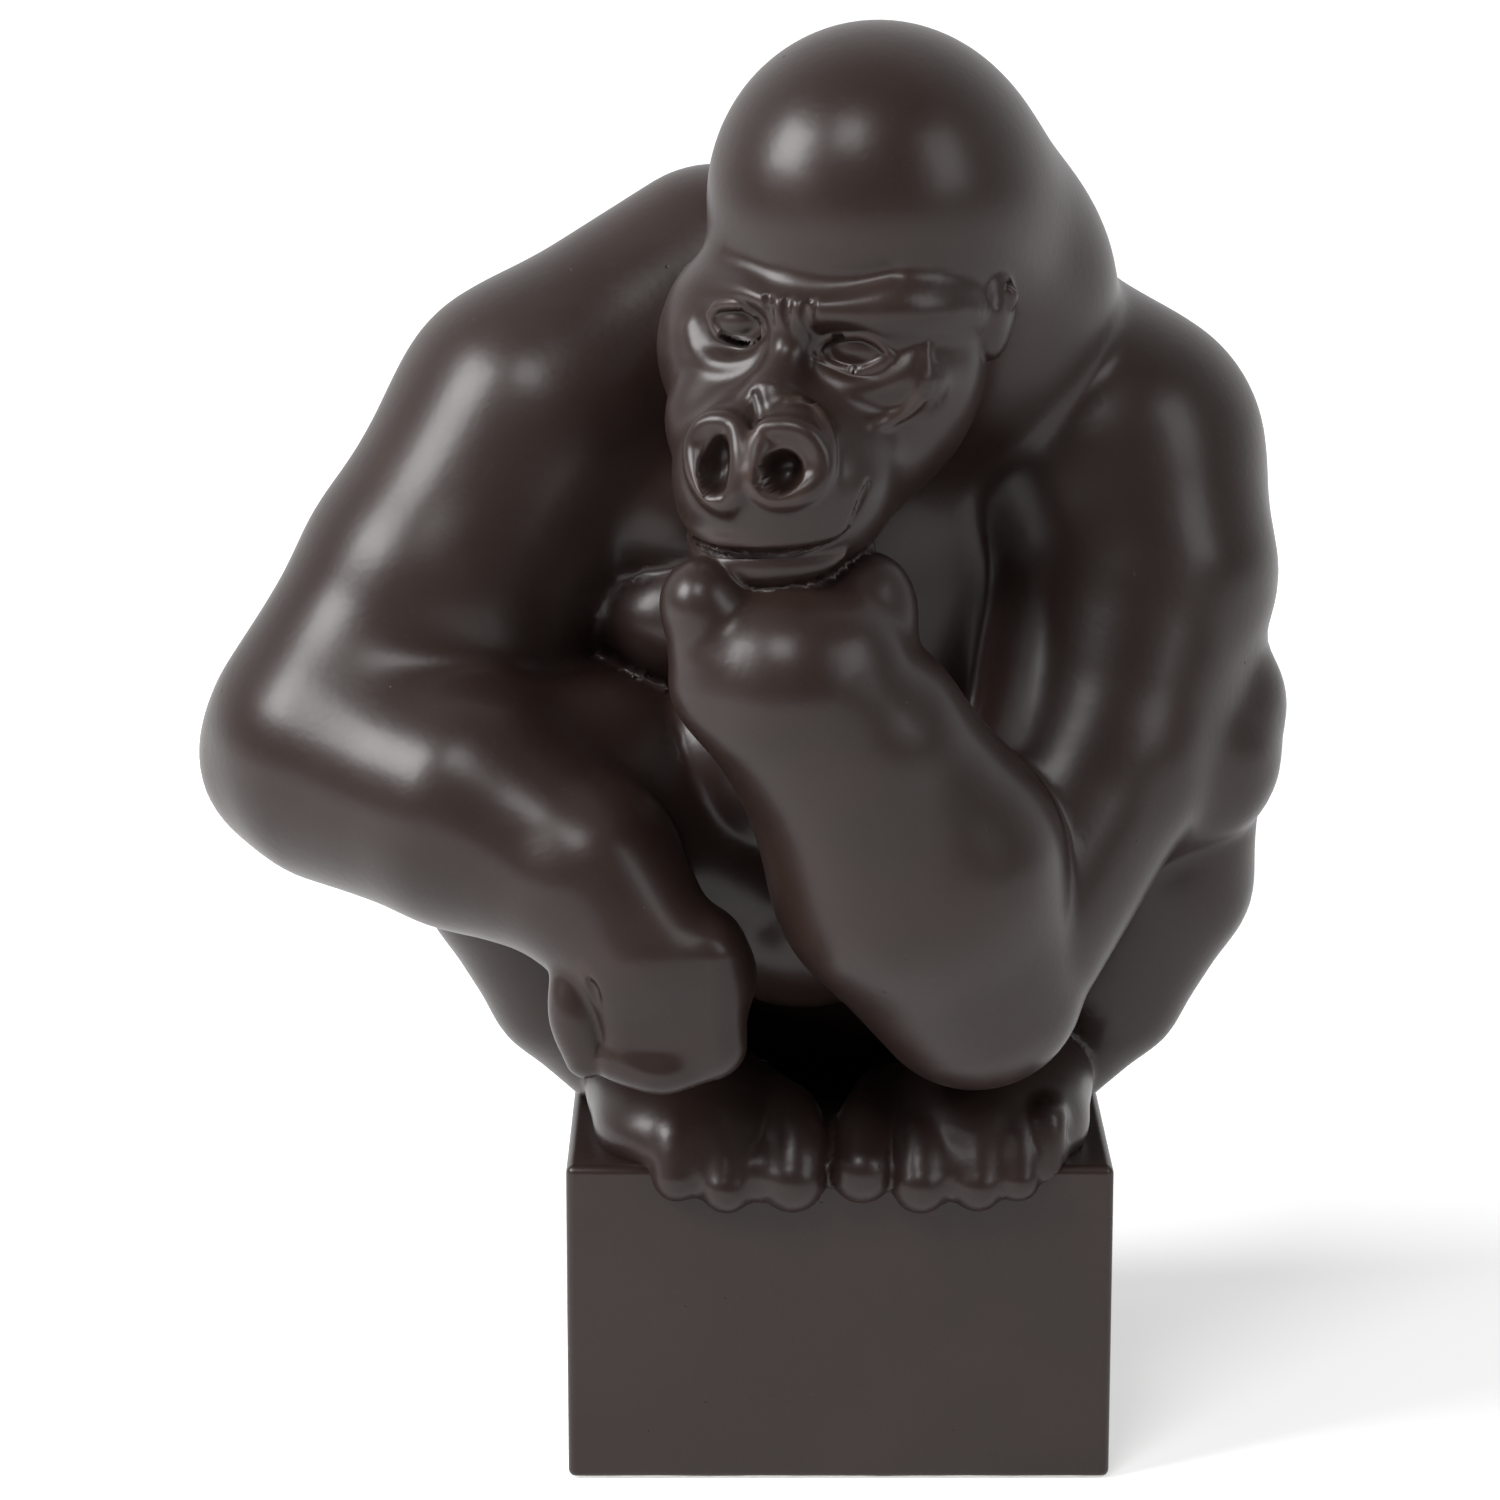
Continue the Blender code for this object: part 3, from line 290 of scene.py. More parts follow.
class Roll:
    """A rolled coil of clay through points, or the path of a round tool, with a radius at each."""

    # Radius under which a roll is left out of the rough blank
    THIN = 2.0

    def __init__(self, points, radii, closed=False, steps=10):
        points = np.array(points, float)
        radii = np.array(radii, float)
        count = len(points)
        path, thick = [], []
        for i in range(count if closed else count - 1):
            if closed:
                near = [(i + j) % count for j in (-1, 0, 1, 2)]
            else:
                near = [max(i - 1, 0), i, i + 1, min(i + 2, count - 1)]
            for step in range(steps):
                path.append(through(points[near], step / steps))
                thick.append(through(radii[near], step / steps))
        path.append(points[0] if closed else points[-1])
        thick.append(radii[0] if closed else radii[-1])
        self.path = np.array(path)
        self.thick = np.maximum(thick, 0.05)
        self.centre = (self.path.min(0) + self.path.max(0)) / 2.0
        self.reach = float((np.linalg.norm(self.path - self.centre, axis=1) + self.thick).max())

    def distance(self, points):
        best = np.full(len(points), FAR)
        for i in range(len(self.path) - 1):
            run = self.path[i + 1] - self.path[i]
            offset = points - self.path[i]
            along = np.clip(offset @ run / (run @ run), 0.0, 1.0)
            radius = self.thick[i] + along * (self.thick[i + 1] - self.thick[i])
            away = offset - np.outer(along, run)
            best = np.minimum(best, np.linalg.norm(away, axis=1) - radius)
        return best

    def rough_out(self, bm, axes, origin):
        for point, radius in zip(self.path, self.thick):
            if radius < self.THIN:
                continue
            centre = Vector(axes @ point + origin)
            bmesh.ops.create_icosphere(bm, subdivisions=2, radius=radius,
                                       matrix=Matrix.Translation(centre))


def through(near, t):
    """A point on the smooth curve through the middle two of four values."""
    a, b, c, d = near
    return 0.5 * (2 * b + (c - a) * t + (2 * a - 5 * b + 4 * c - d) * t ** 2
                  + (3 * b - a - 3 * c + d) * t ** 3)


class Pad:
    """A round-cornered block of clay."""

    def __init__(self, centre, half, corner, roll=0.0):
        self.centre = np.array(centre, float)
        self.half = np.array(half, float)
        self.corner = corner
        self.axes = turn(roll=roll)
        self.reach = float(np.linalg.norm(self.half))

    def distance(self, points):
        out = np.abs((points - self.centre) @ self.axes) - (self.half - self.corner)
        outside = np.sqrt((np.maximum(out, 0.0) ** 2).sum(1))
        return outside + np.minimum(out.max(1), 0.0) - self.corner

    def rough_out(self, bm, axes, origin):
        matrix = placed(axes @ self.centre + origin, axes @ self.axes, self.half * 1.6)
        bmesh.ops.create_cube(bm, size=1.0, matrix=matrix)


class Clay:
    """Masses laid on and tooled away in order, each with the width of its fillet."""

    def __init__(self, place=(0.0, 0.0, 0.0), axes=None):
        self.origin = np.array(place, float)
        self.axes = np.eye(3) if axes is None else axes
        self.steps = []

    def add(self, mass, fillet=0.0):
        self.steps.append((mass, fillet, True))

    def cut(self, mass, fillet=0.0):
        self.steps.append((mass, fillet, False))

    def distance(self, points, band=BAND):
        """Distance to the clay's surface, right within a band of it and large further off."""
        local = (points - self.origin) @ self.axes
        field = np.full(len(points), FAR)
        close = self.close_to(local, band)
        local, nearby = local[close], field[close]
        # A mass is still felt as far off as the widest fillet of those laid on after it
        widest = np.maximum.accumulate([fillet for _, fillet, _ in self.steps[::-1]])[::-1]
        for (mass, fillet, adds), wide in zip(self.steps, widest):
            reach = mass.reach + wide + band
            near = np.nonzero(((local - mass.centre) ** 2).sum(1) < reach * reach)[0]
            if not len(near):
                continue
            distance = mass.distance(local[near])
            if adds:
                nearby[near] = blend_union(nearby[near], distance, fillet)
            else:
                nearby[near] = -blend_union(-nearby[near], distance, fillet)
        field[close] = nearby
        return field

    def untooled(self):
        """The same clay before its fine tooling."""
        plain = Clay(self.origin, self.axes)
        plain.steps = [step for step in self.steps if not 0.0 < step[1] < FINE_FILLET]
        return plain

    def close_to(self, local, band):
        """Which points lie in the box round all the masses, grown by a band."""
        low = np.min([mass.centre - mass.reach for mass, _, _ in self.steps], axis=0) - band
        high = np.max([mass.centre + mass.reach for mass, _, _ in self.steps], axis=0) + band
        return np.nonzero(((local > low) & (local < high)).all(1))[0]

    def rough_out(self, bm):
        """Plain spheres, cones and blocks of the masses that are laid on."""
        for mass, _, adds in self.steps:
            if adds:
                mass.rough_out(bm, self.axes, self.origin)


def mirrored(stations):
    """The same limb stations on the figure's right side."""
    return [(-x, *rest) for x, *rest in stations]


# Head, in its own axes: origin at its middle, face towards -y

def model_brow(clay):
    ridge = [(-42, -6, -12), (-36, -19, -8), (-29, -28, -5.5), (-20, -34.5, -4), (-8, -39.5, -4),
             (4, -40.5, -5), (16, -37.5, -5.5), (27, -31, -5.5), (36, -19, -7), (42, -4, -12)]
    clay.add(Roll(ridge, [3, 4.5, 5.5, 5.5, 6.5, 7, 7.5, 8, 6, 3]), 9)
    trough = [(x, y - 1.6, z + 1.0) for x, y, z in FURROW]
    clay.cut(Roll(trough, [1.0, 2.4, 3.0, 3.0, 2.4, 1.0]), 6)
    for fold in FROWN_FOLDS:
        clay.cut(Roll(fold, [0.6, 1.6, 1.7, 0.8]), 1.6)


def model_eye(clay, ball, upper, lower, pouch):
    x, z, tilt = ball
    clay.cut(Ball((x, -49, z - 1), (12.5, 9.5, 8), roll=-tilt), 5)
    clay.add(Ball((x, -34, z), (9.8, 7.7, 6.4), roll=-tilt), 1.6)
    clay.add(Roll(pouch, [0.8, 2.4, 2.8, 2.6, 2.0, 0.8]), 4)
    clay.add(Roll(upper, [0.9, 1.3, 1.5, 1.5, 1.3, 0.9]), 1.4)
    clay.add(Roll(lower, [0.9, 1.2, 1.3, 1.3, 1.2, 0.9]), 1.4)


def model_cheeks(clay):
    clay.add(Ball((-4, -15, -23), (45, 30, 36)), 12)
    clay.add(Limb((0, -8, -30, 36), (0, -38, -50, 25)), 10)
    clay.add(Ball((-23, -38, -38), (14, 14, 15)), 14)


def model_cheekbones(clay):
    clay.add(Ball((-29, -31, -20), (9, 7, 8)), 9)
    clay.add(Ball((28, -31, -24), (9, 7, 8)), 9)
    clay.add(Roll(CHEEK_FOLD, [0.3, 1.2, 1.8, 1.8, 1.4, 0.5]), 3)


def model_nostril(clay, rim, hole, radii):
    clay.add(Roll(rim, [3.0] * len(rim), closed=True), 4)
    clay.cut(Ball(hole, radii), 2.0)


def model_nose(clay):
    clay.add(Roll([(-0.5, -42, -9), (-0.5, -46, -17), (-1, -53, -26)], [4.0, 4.0, 7]), 8)
    clay.add(Ball((-1, -47.5, -49.5), MUZZLE_RADII), 10)
    clay.add(Ball((-9, -60, -39), (11, 9, 12)), 4)
    clay.add(Ball((8.5, -60, -38.5), (11, 9, 12)), 4)
    clay.add(Roll(NOSE_WING, [0.8, 1.3, 1.5, 1.6, 1.5, 0.8]), 2)
    model_nostril(clay, R_NOSTRIL_RIM, *R_NOSTRIL)
    model_nostril(clay, L_NOSTRIL_RIM, *L_NOSTRIL)
    clay.cut(Roll([(-3.4, -60.5, -24.5), (-1.3, -64, -28.6), (0.6, -68.5, -33)],
                  [0.5, 1.4, 0.6]), 3)
    clay.cut(Roll(MUZZLE_FOLD, [0.4, 0.8, 0.5]), 2)


def model_mouth(clay):
    clay.add(Ball((-3, -52, -66.5), (19.5, 19, 11.5)), 5)
    lower = [(x * 0.95, y + 4.2, z - 5.2) for x, y, z in MOUTH_LINE[:8]]
    clay.add(Roll(lower, [1.5, 3.6, 4.8, 5.0, 4.8, 4.0, 3.0, 1.5]), 4)
    upper = [(x, y + 1.4, z + 3.2) for x, y, z in MOUTH_LINE]
    clay.add(Roll(upper, [1.0, 2.0, 2.8, 3.0, 3.0, 2.6, 2.0, 1.2, 0.6]), 4)
    clay.cut(Roll(MOUTH_LINE, [0.5, 1.1, 1.4, 1.5, 1.4, 1.3, 1.0, 0.6, 0.3]), 1.4)


def ear_clay(side):
    """One ear: the rolled helix and the fold inside it."""
    clay = Clay(HEAD_PLACE, HEAD_AXES)
    helix = [(47.5, -13.5, -7), (49, -15, 0), (50.5, -10.5, 3), (51.5, -4, 0.5),
             (51.8, -1.5, -5.5), (51.6, -5, -11.5), (50.6, -7, -17), (48.2, -8.5, -22)]
    sunk = EAR_SINK if side < 0 else 0.0
    rim = [(side * (x - sunk), y, z) for x, y, z in helix]
    clay.add(Ball((side * (41 - sunk), -6, -9), (6, 9, 14)))
    clay.add(Roll(rim, [1.7, 2.1, 2.4, 2.5, 2.4, 2.4, 2.7, 3.4]), 1.8)
    clay.add(Ball((side * (46.5 - sunk), -6.5, -5), (2.2, 2.6, 4.0)), 1.8)
    return clay


def ear_root(side):
    """The oval in which an ear is luted on to the head."""
    clay = Clay(HEAD_PLACE, HEAD_AXES)
    clay.add(Ball((side * 45.5, -6, -9.5), (8, 13.5, 17.5)))
    return clay


def head_clay():
    clay = Clay(HEAD_PLACE, HEAD_AXES)
    clay.add(Ball((4, 6, 16), DOME_RADII))
    clay.add(Ball((9, 47, -19), NAPE_RADII), 45)
    model_cheeks(clay)
    model_brow(clay)
    model_eye(clay, R_EYE, R_UPPER_LID, R_LOWER_LID, R_POUCH)
    model_eye(clay, L_EYE, L_UPPER_LID, L_LOWER_LID, L_POUCH)
    model_cheekbones(clay)
    model_nose(clay)
    model_mouth(clay)
    return clay


# Body, in the figure's axes

def trunk_clay():
    clay = Clay()
    for mass, fillet in ((PELVIS, 0), (BELLY, 20), (LOINS, 30), (RIBCAGE, 24), (LOW_BELLY, 10),
                         (BELLY_DOME, 6), (UPPER_BELLY, 4), (R_BREAST, 5), (R_FLANK, 16),
                         (SHOULDERS, 25)):
        clay.add(Ball(*mass), fillet)
    for ends in ((NECK_TOP, NECK_ROOT), (R_TRAPEZIUS, R_SHOULDER), (L_TRAPEZIUS, L_SHOULDER)):
        clay.add(Limb(*ends), 16)
    return clay


def chain(clay, stations, fillet):
    """A limb through several stations."""
    for start, end in zip(stations, stations[1:]):
        clay.add(Limb(start, end), fillet)
    return clay


def right_forearm_clay():
    clay = Clay()
    clay.add(Ball((-150, 42, 104), (25, 25, 24)))
    return chain(clay, (R_FOREARM_TOP, R_FOREARM_MID, R_WRIST, R_PALM), 6)


def right_hand_clay():
    clay = Clay()
    clay.add(Limb(R_WRIST, R_PALM))
    clay.add(Pad((-46, -21, 55), (20, 15, 21.5), 9, roll=-3), 12)
    clay.add(Ball((-32, -19, 60), (9, 11, 11)), 8)
    clay.add(Roll([(-66, -18, 70), (-70.5, -24, 64), (-71.3, -28, 52), (-68, -27, 40)],
                  [5.0, 6.2, 6.8, 6.0]), 3)
    clay.cut(Roll([(-67.5, -33, 69), (-66, -36.5, 62), (-65.8, -37.5, 52), (-66.5, -36, 44)],
                  [1.2, 2.4, 2.4, 1.0]), 1.2)
    clay.add(Roll([(-60, -30, 40), (-48, -32, 37), (-36, -28, 39)], [5.5, 6.0, 5.0]), 4)
    return clay


def left_hand_clay():
    clay = Clay()
    clay.add(Limb(L_FOREARM_MID, L_WRIST))
    clay.add(Pad((-16, -31, 148), (29, 20, 16), 13), 16)
    clay.add(Ball((6, -24, 161), (13, 13, 15)), 12)
    clay.add(Ball((-37, -37, 165), (11, 13, 12)), 10)
    return clay


def right_thigh_clay():
    clay = chain(Clay(), mirrored(THIGH), 6)
    return chain(clay, (*mirrored(THIGH[:1]), R_THIGH_FRONT, R_THIGH_INNER), 12)


def toe(clay, x, front, low, radius, root):
    """One toe that hooks over the plinth's front edge."""
    tip = (x, front + radius, low + radius)
    clay.add(Roll([(root, 20, 6), (x, 6, low + 17), tip],
                  [radius + 3.0, radius + 0.5, radius - 0.4]), 3)


def ball_of_foot(clay, toes):
    """The pad that joins the toes, so that they part only at their ends."""
    path = [(x, front + radius + 3.5, low + radius + 2.5) for x, front, low, radius, root in toes]
    clay.add(Roll(path, [radius for _, _, _, radius, _ in toes]), 8)


def sole(heel, instep, radii, yaw, forefoot, toes):
    """Heel, instep and forefoot, up to the pad from which the toes part."""
    clay = Clay()
    clay.add(Ball(heel, (17, 20, 13)))
    clay.add(Ball(instep, radii, yaw=yaw), 6)
    clay.add(Ball(forefoot, (31, 27, 18)), 14)
    ball_of_foot(clay, toes)
    return clay


def right_foot_clay():
    clay = sole((-58, 84, 8), (-46, 48, 8), (25, 36, 20), 8, (-36, 24, 4), R_TOES)
    for sizes in R_TOES:
        toe(clay, *sizes)
    return clay


def left_foot_clay():
    clay = sole((58, 84, 8), (44, 48, 10), (28, 36, 21), -8, (38, 24, 5), L_TOES)
    clay.add(Roll([(15, 30, 8), (8, 12, 5), (6.0, -0.5, -1)], [12, 10, 8.8]), 3.5)
    for sizes in L_TOES:
        toe(clay, *sizes)
    return clay


class Section:
    """One cast section: its clay, its fillet to the others and where it parts from them."""

    def __init__(self, clay, fillet, allowance=SEAM_ALLOWANCE, territory=None, plane=None):
        self.clay = clay
        self.fillet = fillet
        self.allowance = allowance
        self.territory = territory or clay
        self.plane = plane

    def inside(self, points):
        """Which points belong to this section, if no outer one has them."""
        held = self.territory.distance(points) < self.allowance
        if self.plane:
            point, direction = np.array(self.plane)
            held &= (points - point) @ direction > 0.0
        return held


def figure_sections():
    """The sections from the outermost inwards."""
    return {
        "left_ear": Section(ear_clay(1), 1.5, 0.0, ear_root(1)),
        "right_ear": Section(ear_clay(-1), 1.5, 0.0, ear_root(-1)),
        "left_hand": Section(left_hand_clay(), 2.5, plane=L_WRIST_PLANE),
        "right_hand": Section(right_hand_clay(), 6, plane=R_WRIST_PLANE),
        "left_forearm": Section(
            chain(Clay(), (L_ELBOW, L_FOREARM_LOW, L_FOREARM_MID, L_WRIST), 6), 5),
        "right_forearm": Section(right_forearm_clay(), 20, ELBOW_ALLOWANCE, plane=R_ELBOW_PLANE),
        "head": Section(head_clay(), 12, ARM_ALLOWANCE),
        "left_upper_arm": Section(
            chain(Clay(), (L_SHOULDER, L_BICEPS, L_TRICEPS, L_ARM_LOW), 6),
            12, ARM_ALLOWANCE, plane=L_SHOULDER_PLANE),
        "right_upper_arm": Section(chain(Clay(), (R_SHOULDER, R_BICEPS, R_ELBOW), 6),
                                   12, ELBOW_ALLOWANCE, plane=R_SHOULDER_PLANE),
        "left_foot": Section(left_foot_clay(), 4),
        "right_foot": Section(right_foot_clay(), 4),
        "left_shin": Section(chain(Clay(), SHIN, 4), 4),
        "right_shin": Section(chain(Clay(), mirrored(SHIN), 4), 4),
        "left_thigh": Section(chain(Clay(), THIGH, 6), 6),
        "right_thigh": Section(right_thigh_clay(), 6),
        "torso": Section(trunk_clay(), 0),
    }


def whole_distance(sections, points):
    """Distance to the whole figure, with a fillet at every joint."""
    field = np.full(len(points), FAR)
    for section in reversed(list(sections.values())):
        own = section.clay.distance(points)
        near = own < FAR
        field[near] = blend_union(field[near], own[near], section.fillet)
    return field


def probe(field, points, spacing=PROBE):
    """A field's value and slope at every point, from the corners of a small tetrahedron."""
    corners = np.array([(1, 1, 1), (1, -1, -1), (-1, 1, -1), (-1, -1, 1)]) * spacing
    values = np.stack([field(points + corner) for corner in corners], axis=1)
    return values.mean(1), values @ corners / (4.0 * spacing * spacing)


# From clay to meshes

def vertex_array(mesh):
    """The mesh's vertices as rows of x, y and z."""
    points = np.empty(len(mesh.vertices) * 3)
    mesh.vertices.foreach_get("co", points)
    return points.reshape(-1, 3)


def move_vertices(mesh, points):
    """Put the mesh's vertices at these points."""
    mesh.vertices.foreach_set("co", points.ravel())
    mesh.update()


def new_object(name, bm):
    """An object from a bmesh, which is used up."""
    mesh = bpy.data.meshes.new(name)
    bm.to_mesh(mesh)
    bm.free()
    obj = bpy.data.objects.new(name, mesh)
    bpy.context.scene.collection.objects.link(obj)
    return obj


def remesh(obj, grain):
    """Replace the object's mesh by an even skin of quads."""
    modifier = obj.modifiers.new("Grain", "REMESH")
    modifier.mode = "VOXEL"
    modifier.voxel_size = grain
    graph = bpy.context.evaluated_depsgraph_get()
    mesh = bpy.data.meshes.new_from_object(obj.evaluated_get(graph))
    old = obj.data
    obj.modifiers.clear()
    obj.data = mesh
    bpy.data.meshes.remove(old)
    return obj


def settle(obj, field, rounds=2, limit=4.0, wanted=None):
    """Move vertices along the slope of a field until they lie where the field is zero."""
    points = vertex_array(obj.data)
    moved = wanted(points) if wanted else np.full(len(points), True)
    for _ in range(rounds):
        value, slope = probe(field, points[moved])
        steep = np.maximum((slope * slope).sum(1), 0.2)
        points[moved] -= np.clip(value / steep, -limit, limit)[:, None] * slope
    move_vertices(obj.data, points)


def relax(obj, wanted):
    """Draw the wanted vertices half-way to the middle of their neighbours, which undoes folds."""
    points = vertex_array(obj.data)
    ends = np.empty(len(obj.data.edges) * 2, int)
    obj.data.edges.foreach_get("vertices", ends)
    start, end = ends.reshape(-1, 2).T
    count = np.bincount(ends, minlength=len(points))[:, None]
    total = np.stack([np.bincount(start, points[end, axis], len(points))
                      + np.bincount(end, points[start, axis], len(points))
                      for axis in range(3)], axis=1)
    moved = wanted(points)
    points[moved] = (points[moved] + total[moved] / count[moved]) / 2.0
    move_vertices(obj.data, points)


def refine(obj, wanted):
    """Halve the faces of the places that are wanted finer."""
    bm = bmesh.new()
    bm.from_mesh(obj.data)
    chosen = wanted(np.array([face.calc_center_median() for face in bm.faces]))
    edges = {edge for face, pick in zip(bm.faces, chosen) if pick for edge in face.edges}
    bmesh.ops.subdivide_edges(bm, edges=list(edges), cuts=1, use_grid_fill=True)
    bm.to_mesh(obj.data)
    bm.free()


def plinth_pad(inset=0.0):
    """The plinth as a round-edged block, or one that is smaller all round."""
    half = np.array((PLINTH_WIDTH, PLINTH_DEPTH, PLINTH_HEIGHT)) / 2.0
    return Pad((0.0, half[1], -half[2]), half - inset, PLINTH_EDGE)


def above_plinth(field):
    """The clay's field with the soles cut flat just under the plinth's glaze."""
    block = plinth_pad(SOLE_SINK)
    return lambda points: np.maximum(field(points), -block.distance(points))


def fine_places(sections):
    """Places that need more faces: hands, feet, ears and the front of the head."""
    def wanted(points):
        near = np.full(len(points), FAR)
        for name in ("ear", "hand", "foot"):
            for side in ("left_", "right_"):
                near = np.minimum(near, sections[side + name].clay.distance(points))
        return (near < 3.0) | face_places(points)
    return wanted


def finest_places(sections, points):
    """The face, the ears, the slot beside the thumb and the fist where the chin rests."""
    near = np.min([np.linalg.norm(points - np.array(middle), axis=1) - reach
                   for *middle, reach in (THUMB_SLOT, CHIN_REST)], axis=0)
    for name in ("left_ear", "right_ear"):
        near = np.minimum(near, sections[name].clay.distance(points) - 2.0)
    return (near < 0.0) | face_places(points)


def face_places(points):
    """The face from brow to chin."""
    across, depth, height = on_head(points).T
    return (depth < -29.0) & (np.abs(across) < 34.0) & (height < 8.0) & (height > -76.0)


def lids_and_lips(points):
    """The eyes and the mouth, whose tooling is the finest."""
    across, depth, height = on_head(points).T
    wanted = (np.abs(height + 63.5) < 5.5) & (np.abs(across) < 26.0) & (depth < -50.0)
    for x, z, _ in (R_EYE, L_EYE):
        wanted |= (np.abs(across - x) < 11.5) & (np.abs(height - z) < 7.5) & (depth < -30.0)
    return wanted


def sculpt_blank(settings, sections):
    """The whole figure as one skin on the clay's surface."""
    bm = bmesh.new()
    for section in sections.values():
        section.clay.rough_out(bm)
    blank = remesh(new_object("blank", bm), ROUGH_GRAIN)
    whole = above_plinth(lambda points: whole_distance(sections, points))
    plain_sections = untooled_sections(sections)
    plain = above_plinth(lambda points: whole_distance(plain_sections, points))
    settle(blank, plain, rounds=5)
    remesh(blank, settings.grain / MM)
    settle(blank, plain)
    refine(blank, fine_places(sections))
    refine(blank, lambda points: finest_places(sections, points))
    settle(blank, plain, rounds=1, limit=1.0, wanted=fine_places(sections))
    refine(blank, lids_and_lips)
    for nostril in (R_NOSTRIL, L_NOSTRIL):
        sink(blank, *nostril)
    settle(blank, whole, rounds=2, limit=0.8, wanted=fine_places(sections))
    for _ in range(3):
        relax(blank, lids_and_lips)
        settle(blank, whole, rounds=1, limit=0.4, wanted=lids_and_lips)
    settle(blank, whole, rounds=1, limit=0.5)
    return blank


def sink(obj, middle, radii):
    """Push the skin in front of an oval hole in the face back on to the hole's floor."""
    points = on_head(vertex_array(obj.data))
    x, y, z = ((points - np.array(middle)) / np.array(radii)).T
    off = x * x + z * z
    inside = (off < 1.0) & (y > -1.5) & (y < 1.0)
    floor = middle[1] + radii[1] * np.sqrt(np.maximum(1.0 - off, 0.0))
    points[inside, 1] = np.maximum(points[inside, 1], floor[inside])
    points = points @ HEAD_AXES.T + np.array(HEAD_PLACE)
    move_vertices(obj.data, points)


def untooled_sections(sections):
    """The sections before their fine tooling, on which the blank is first laid out evenly."""
    return {name: Section(section.clay.untooled(), section.fillet)
            for name, section in sections.items()}


# Parting the blank into its cast sections

def section_numbers(sections, points):
    """The number of the first section whose territory holds each point."""
    numbers = np.full(len(points), len(sections) - 1)
    for number, section in reversed(list(enumerate(list(sections.values())[:-1]))):
        numbers[section.inside(points)] = number
    return numbers


def part_edges(bm, sections, numbers):
    """Cut the blank's edges and faces where one section meets the next."""
    crossing = [edge for edge in bm.edges
                if numbers[edge.verts[0].index] != numbers[edge.verts[1].index]]
    start = np.array([edge.verts[0].co for edge in crossing])
    end = np.array([edge.verts[1].co for edge in crossing])
    own = np.array([numbers[edge.verts[0].index] for edge in crossing])
    low, high = np.zeros(len(crossing)), np.ones(len(crossing))
    for _ in range(8):
        middle = (low + high) / 2.0
        same = section_numbers(sections, start + middle[:, None] * (end - start)) == own
        low, high = np.where(same, middle, low), np.where(same, high, middle)
    cuts = []
    for edge, share in zip(crossing, low):
        _, vertex = bmesh.utils.edge_split(edge, edge.verts[0], min(max(share, 0.02), 0.98))
        cuts.append(vertex)
    bmesh.ops.connect_verts(bm, verts=cuts)


def part_blank(blank, sections):
    """Number the blank's faces by section, with clean lines between the sections."""
    bm = bmesh.new()
    bm.from_mesh(blank.data)
    numbers = section_numbers(sections, vertex_array(blank.data))
    part_edges(bm, sections, numbers)
    layer = bm.faces.layers.int.new("section")
    centres = np.array([face.calc_center_median() for face in bm.faces])
    for face, number in zip(bm.faces, section_numbers(sections, centres)):
        face[layer] = number
    give_crumbs_away(bm, layer)
    bm.to_mesh(blank.data)
    bm.free()


def islands(bm, kind):
    """Connected groups of faces of one kind, by kind."""
    left = set(bm.faces)
    found = {}
    while left:
        wave = [left.pop()]
        own = kind(wave[0])
        island = list(wave)
        while wave:
            for edge in wave.pop().edges:
                fresh = [face for face in edge.link_faces if face in left and kind(face) == own]
                left.difference_update(fresh)
                wave.extend(fresh)
                island.extend(fresh)
        found.setdefault(own, []).append(island)
    return found


def give_crumbs_away(bm, layer, rounds=3):
    """Hand each crumb that a seam cut off to the section that it borders most."""
    for _ in range(rounds):
        for number, bodies in islands(bm, lambda face: face[layer]).items():
            for crumb in sorted(bodies, key=len)[:-1]:
                border = {}
                for edge in (edge for face in crumb for edge in face.edges):
                    for other in {face[layer] for face in edge.link_faces} - {number}:
                        border[other] = border.get(other, 0.0) + edge.calc_length()
                if border:
                    for face in crumb:
                        face[layer] = max(border, key=border.get)


def take_section(blank, sections, name, wall, field):
    """One cast section: its part of the blank, closed by an inner skin."""
    bm = bmesh.new()
    bm.from_mesh(blank.data)
    layer = bm.faces.layers.int["section"]
    number = list(sections).index(name)
    others = [face for face in bm.faces if face[layer] != number]
    bmesh.ops.delete(bm, geom=others, context="FACES")
    keep_largest(bm)
    feel_surface(bm, field)
    line_inside(bm, wall, field)
    return new_object(name + "_cast", bm)


def feel_surface(bm, field):
    """Store the skin's slope, and a ridge value, high over narrow ridges and edges and low in
    creases, from which a highlight is painted on the glaze.
    """
    points = np.array([vertex.co for vertex in bm.verts])
    _, slope = probe(field, points, SOFTENING)
    slope /= np.maximum(np.linalg.norm(slope, axis=1), 1e-6)[:, None]
    bend = (RIDGE_REACH - field(points + slope * RIDGE_REACH)) / RIDGE_REACH
    dip = (RIDGE_REACH + field(points - slope * RIDGE_REACH)) / RIDGE_REACH
    # Where this is high the glaze is painted paler: a painted highlight over narrow ridges and
    # edges
    ridge = np.clip(0.5 + dip - bend, 0.0, 1.0)
    slope_layer = bm.verts.layers.float_vector.new("slope")
    ridge_layer = bm.verts.layers.float.new("ridge")
    for vertex, direction, value in zip(bm.verts, slope, ridge):
        vertex[slope_layer] = direction
        vertex[ridge_layer] = value


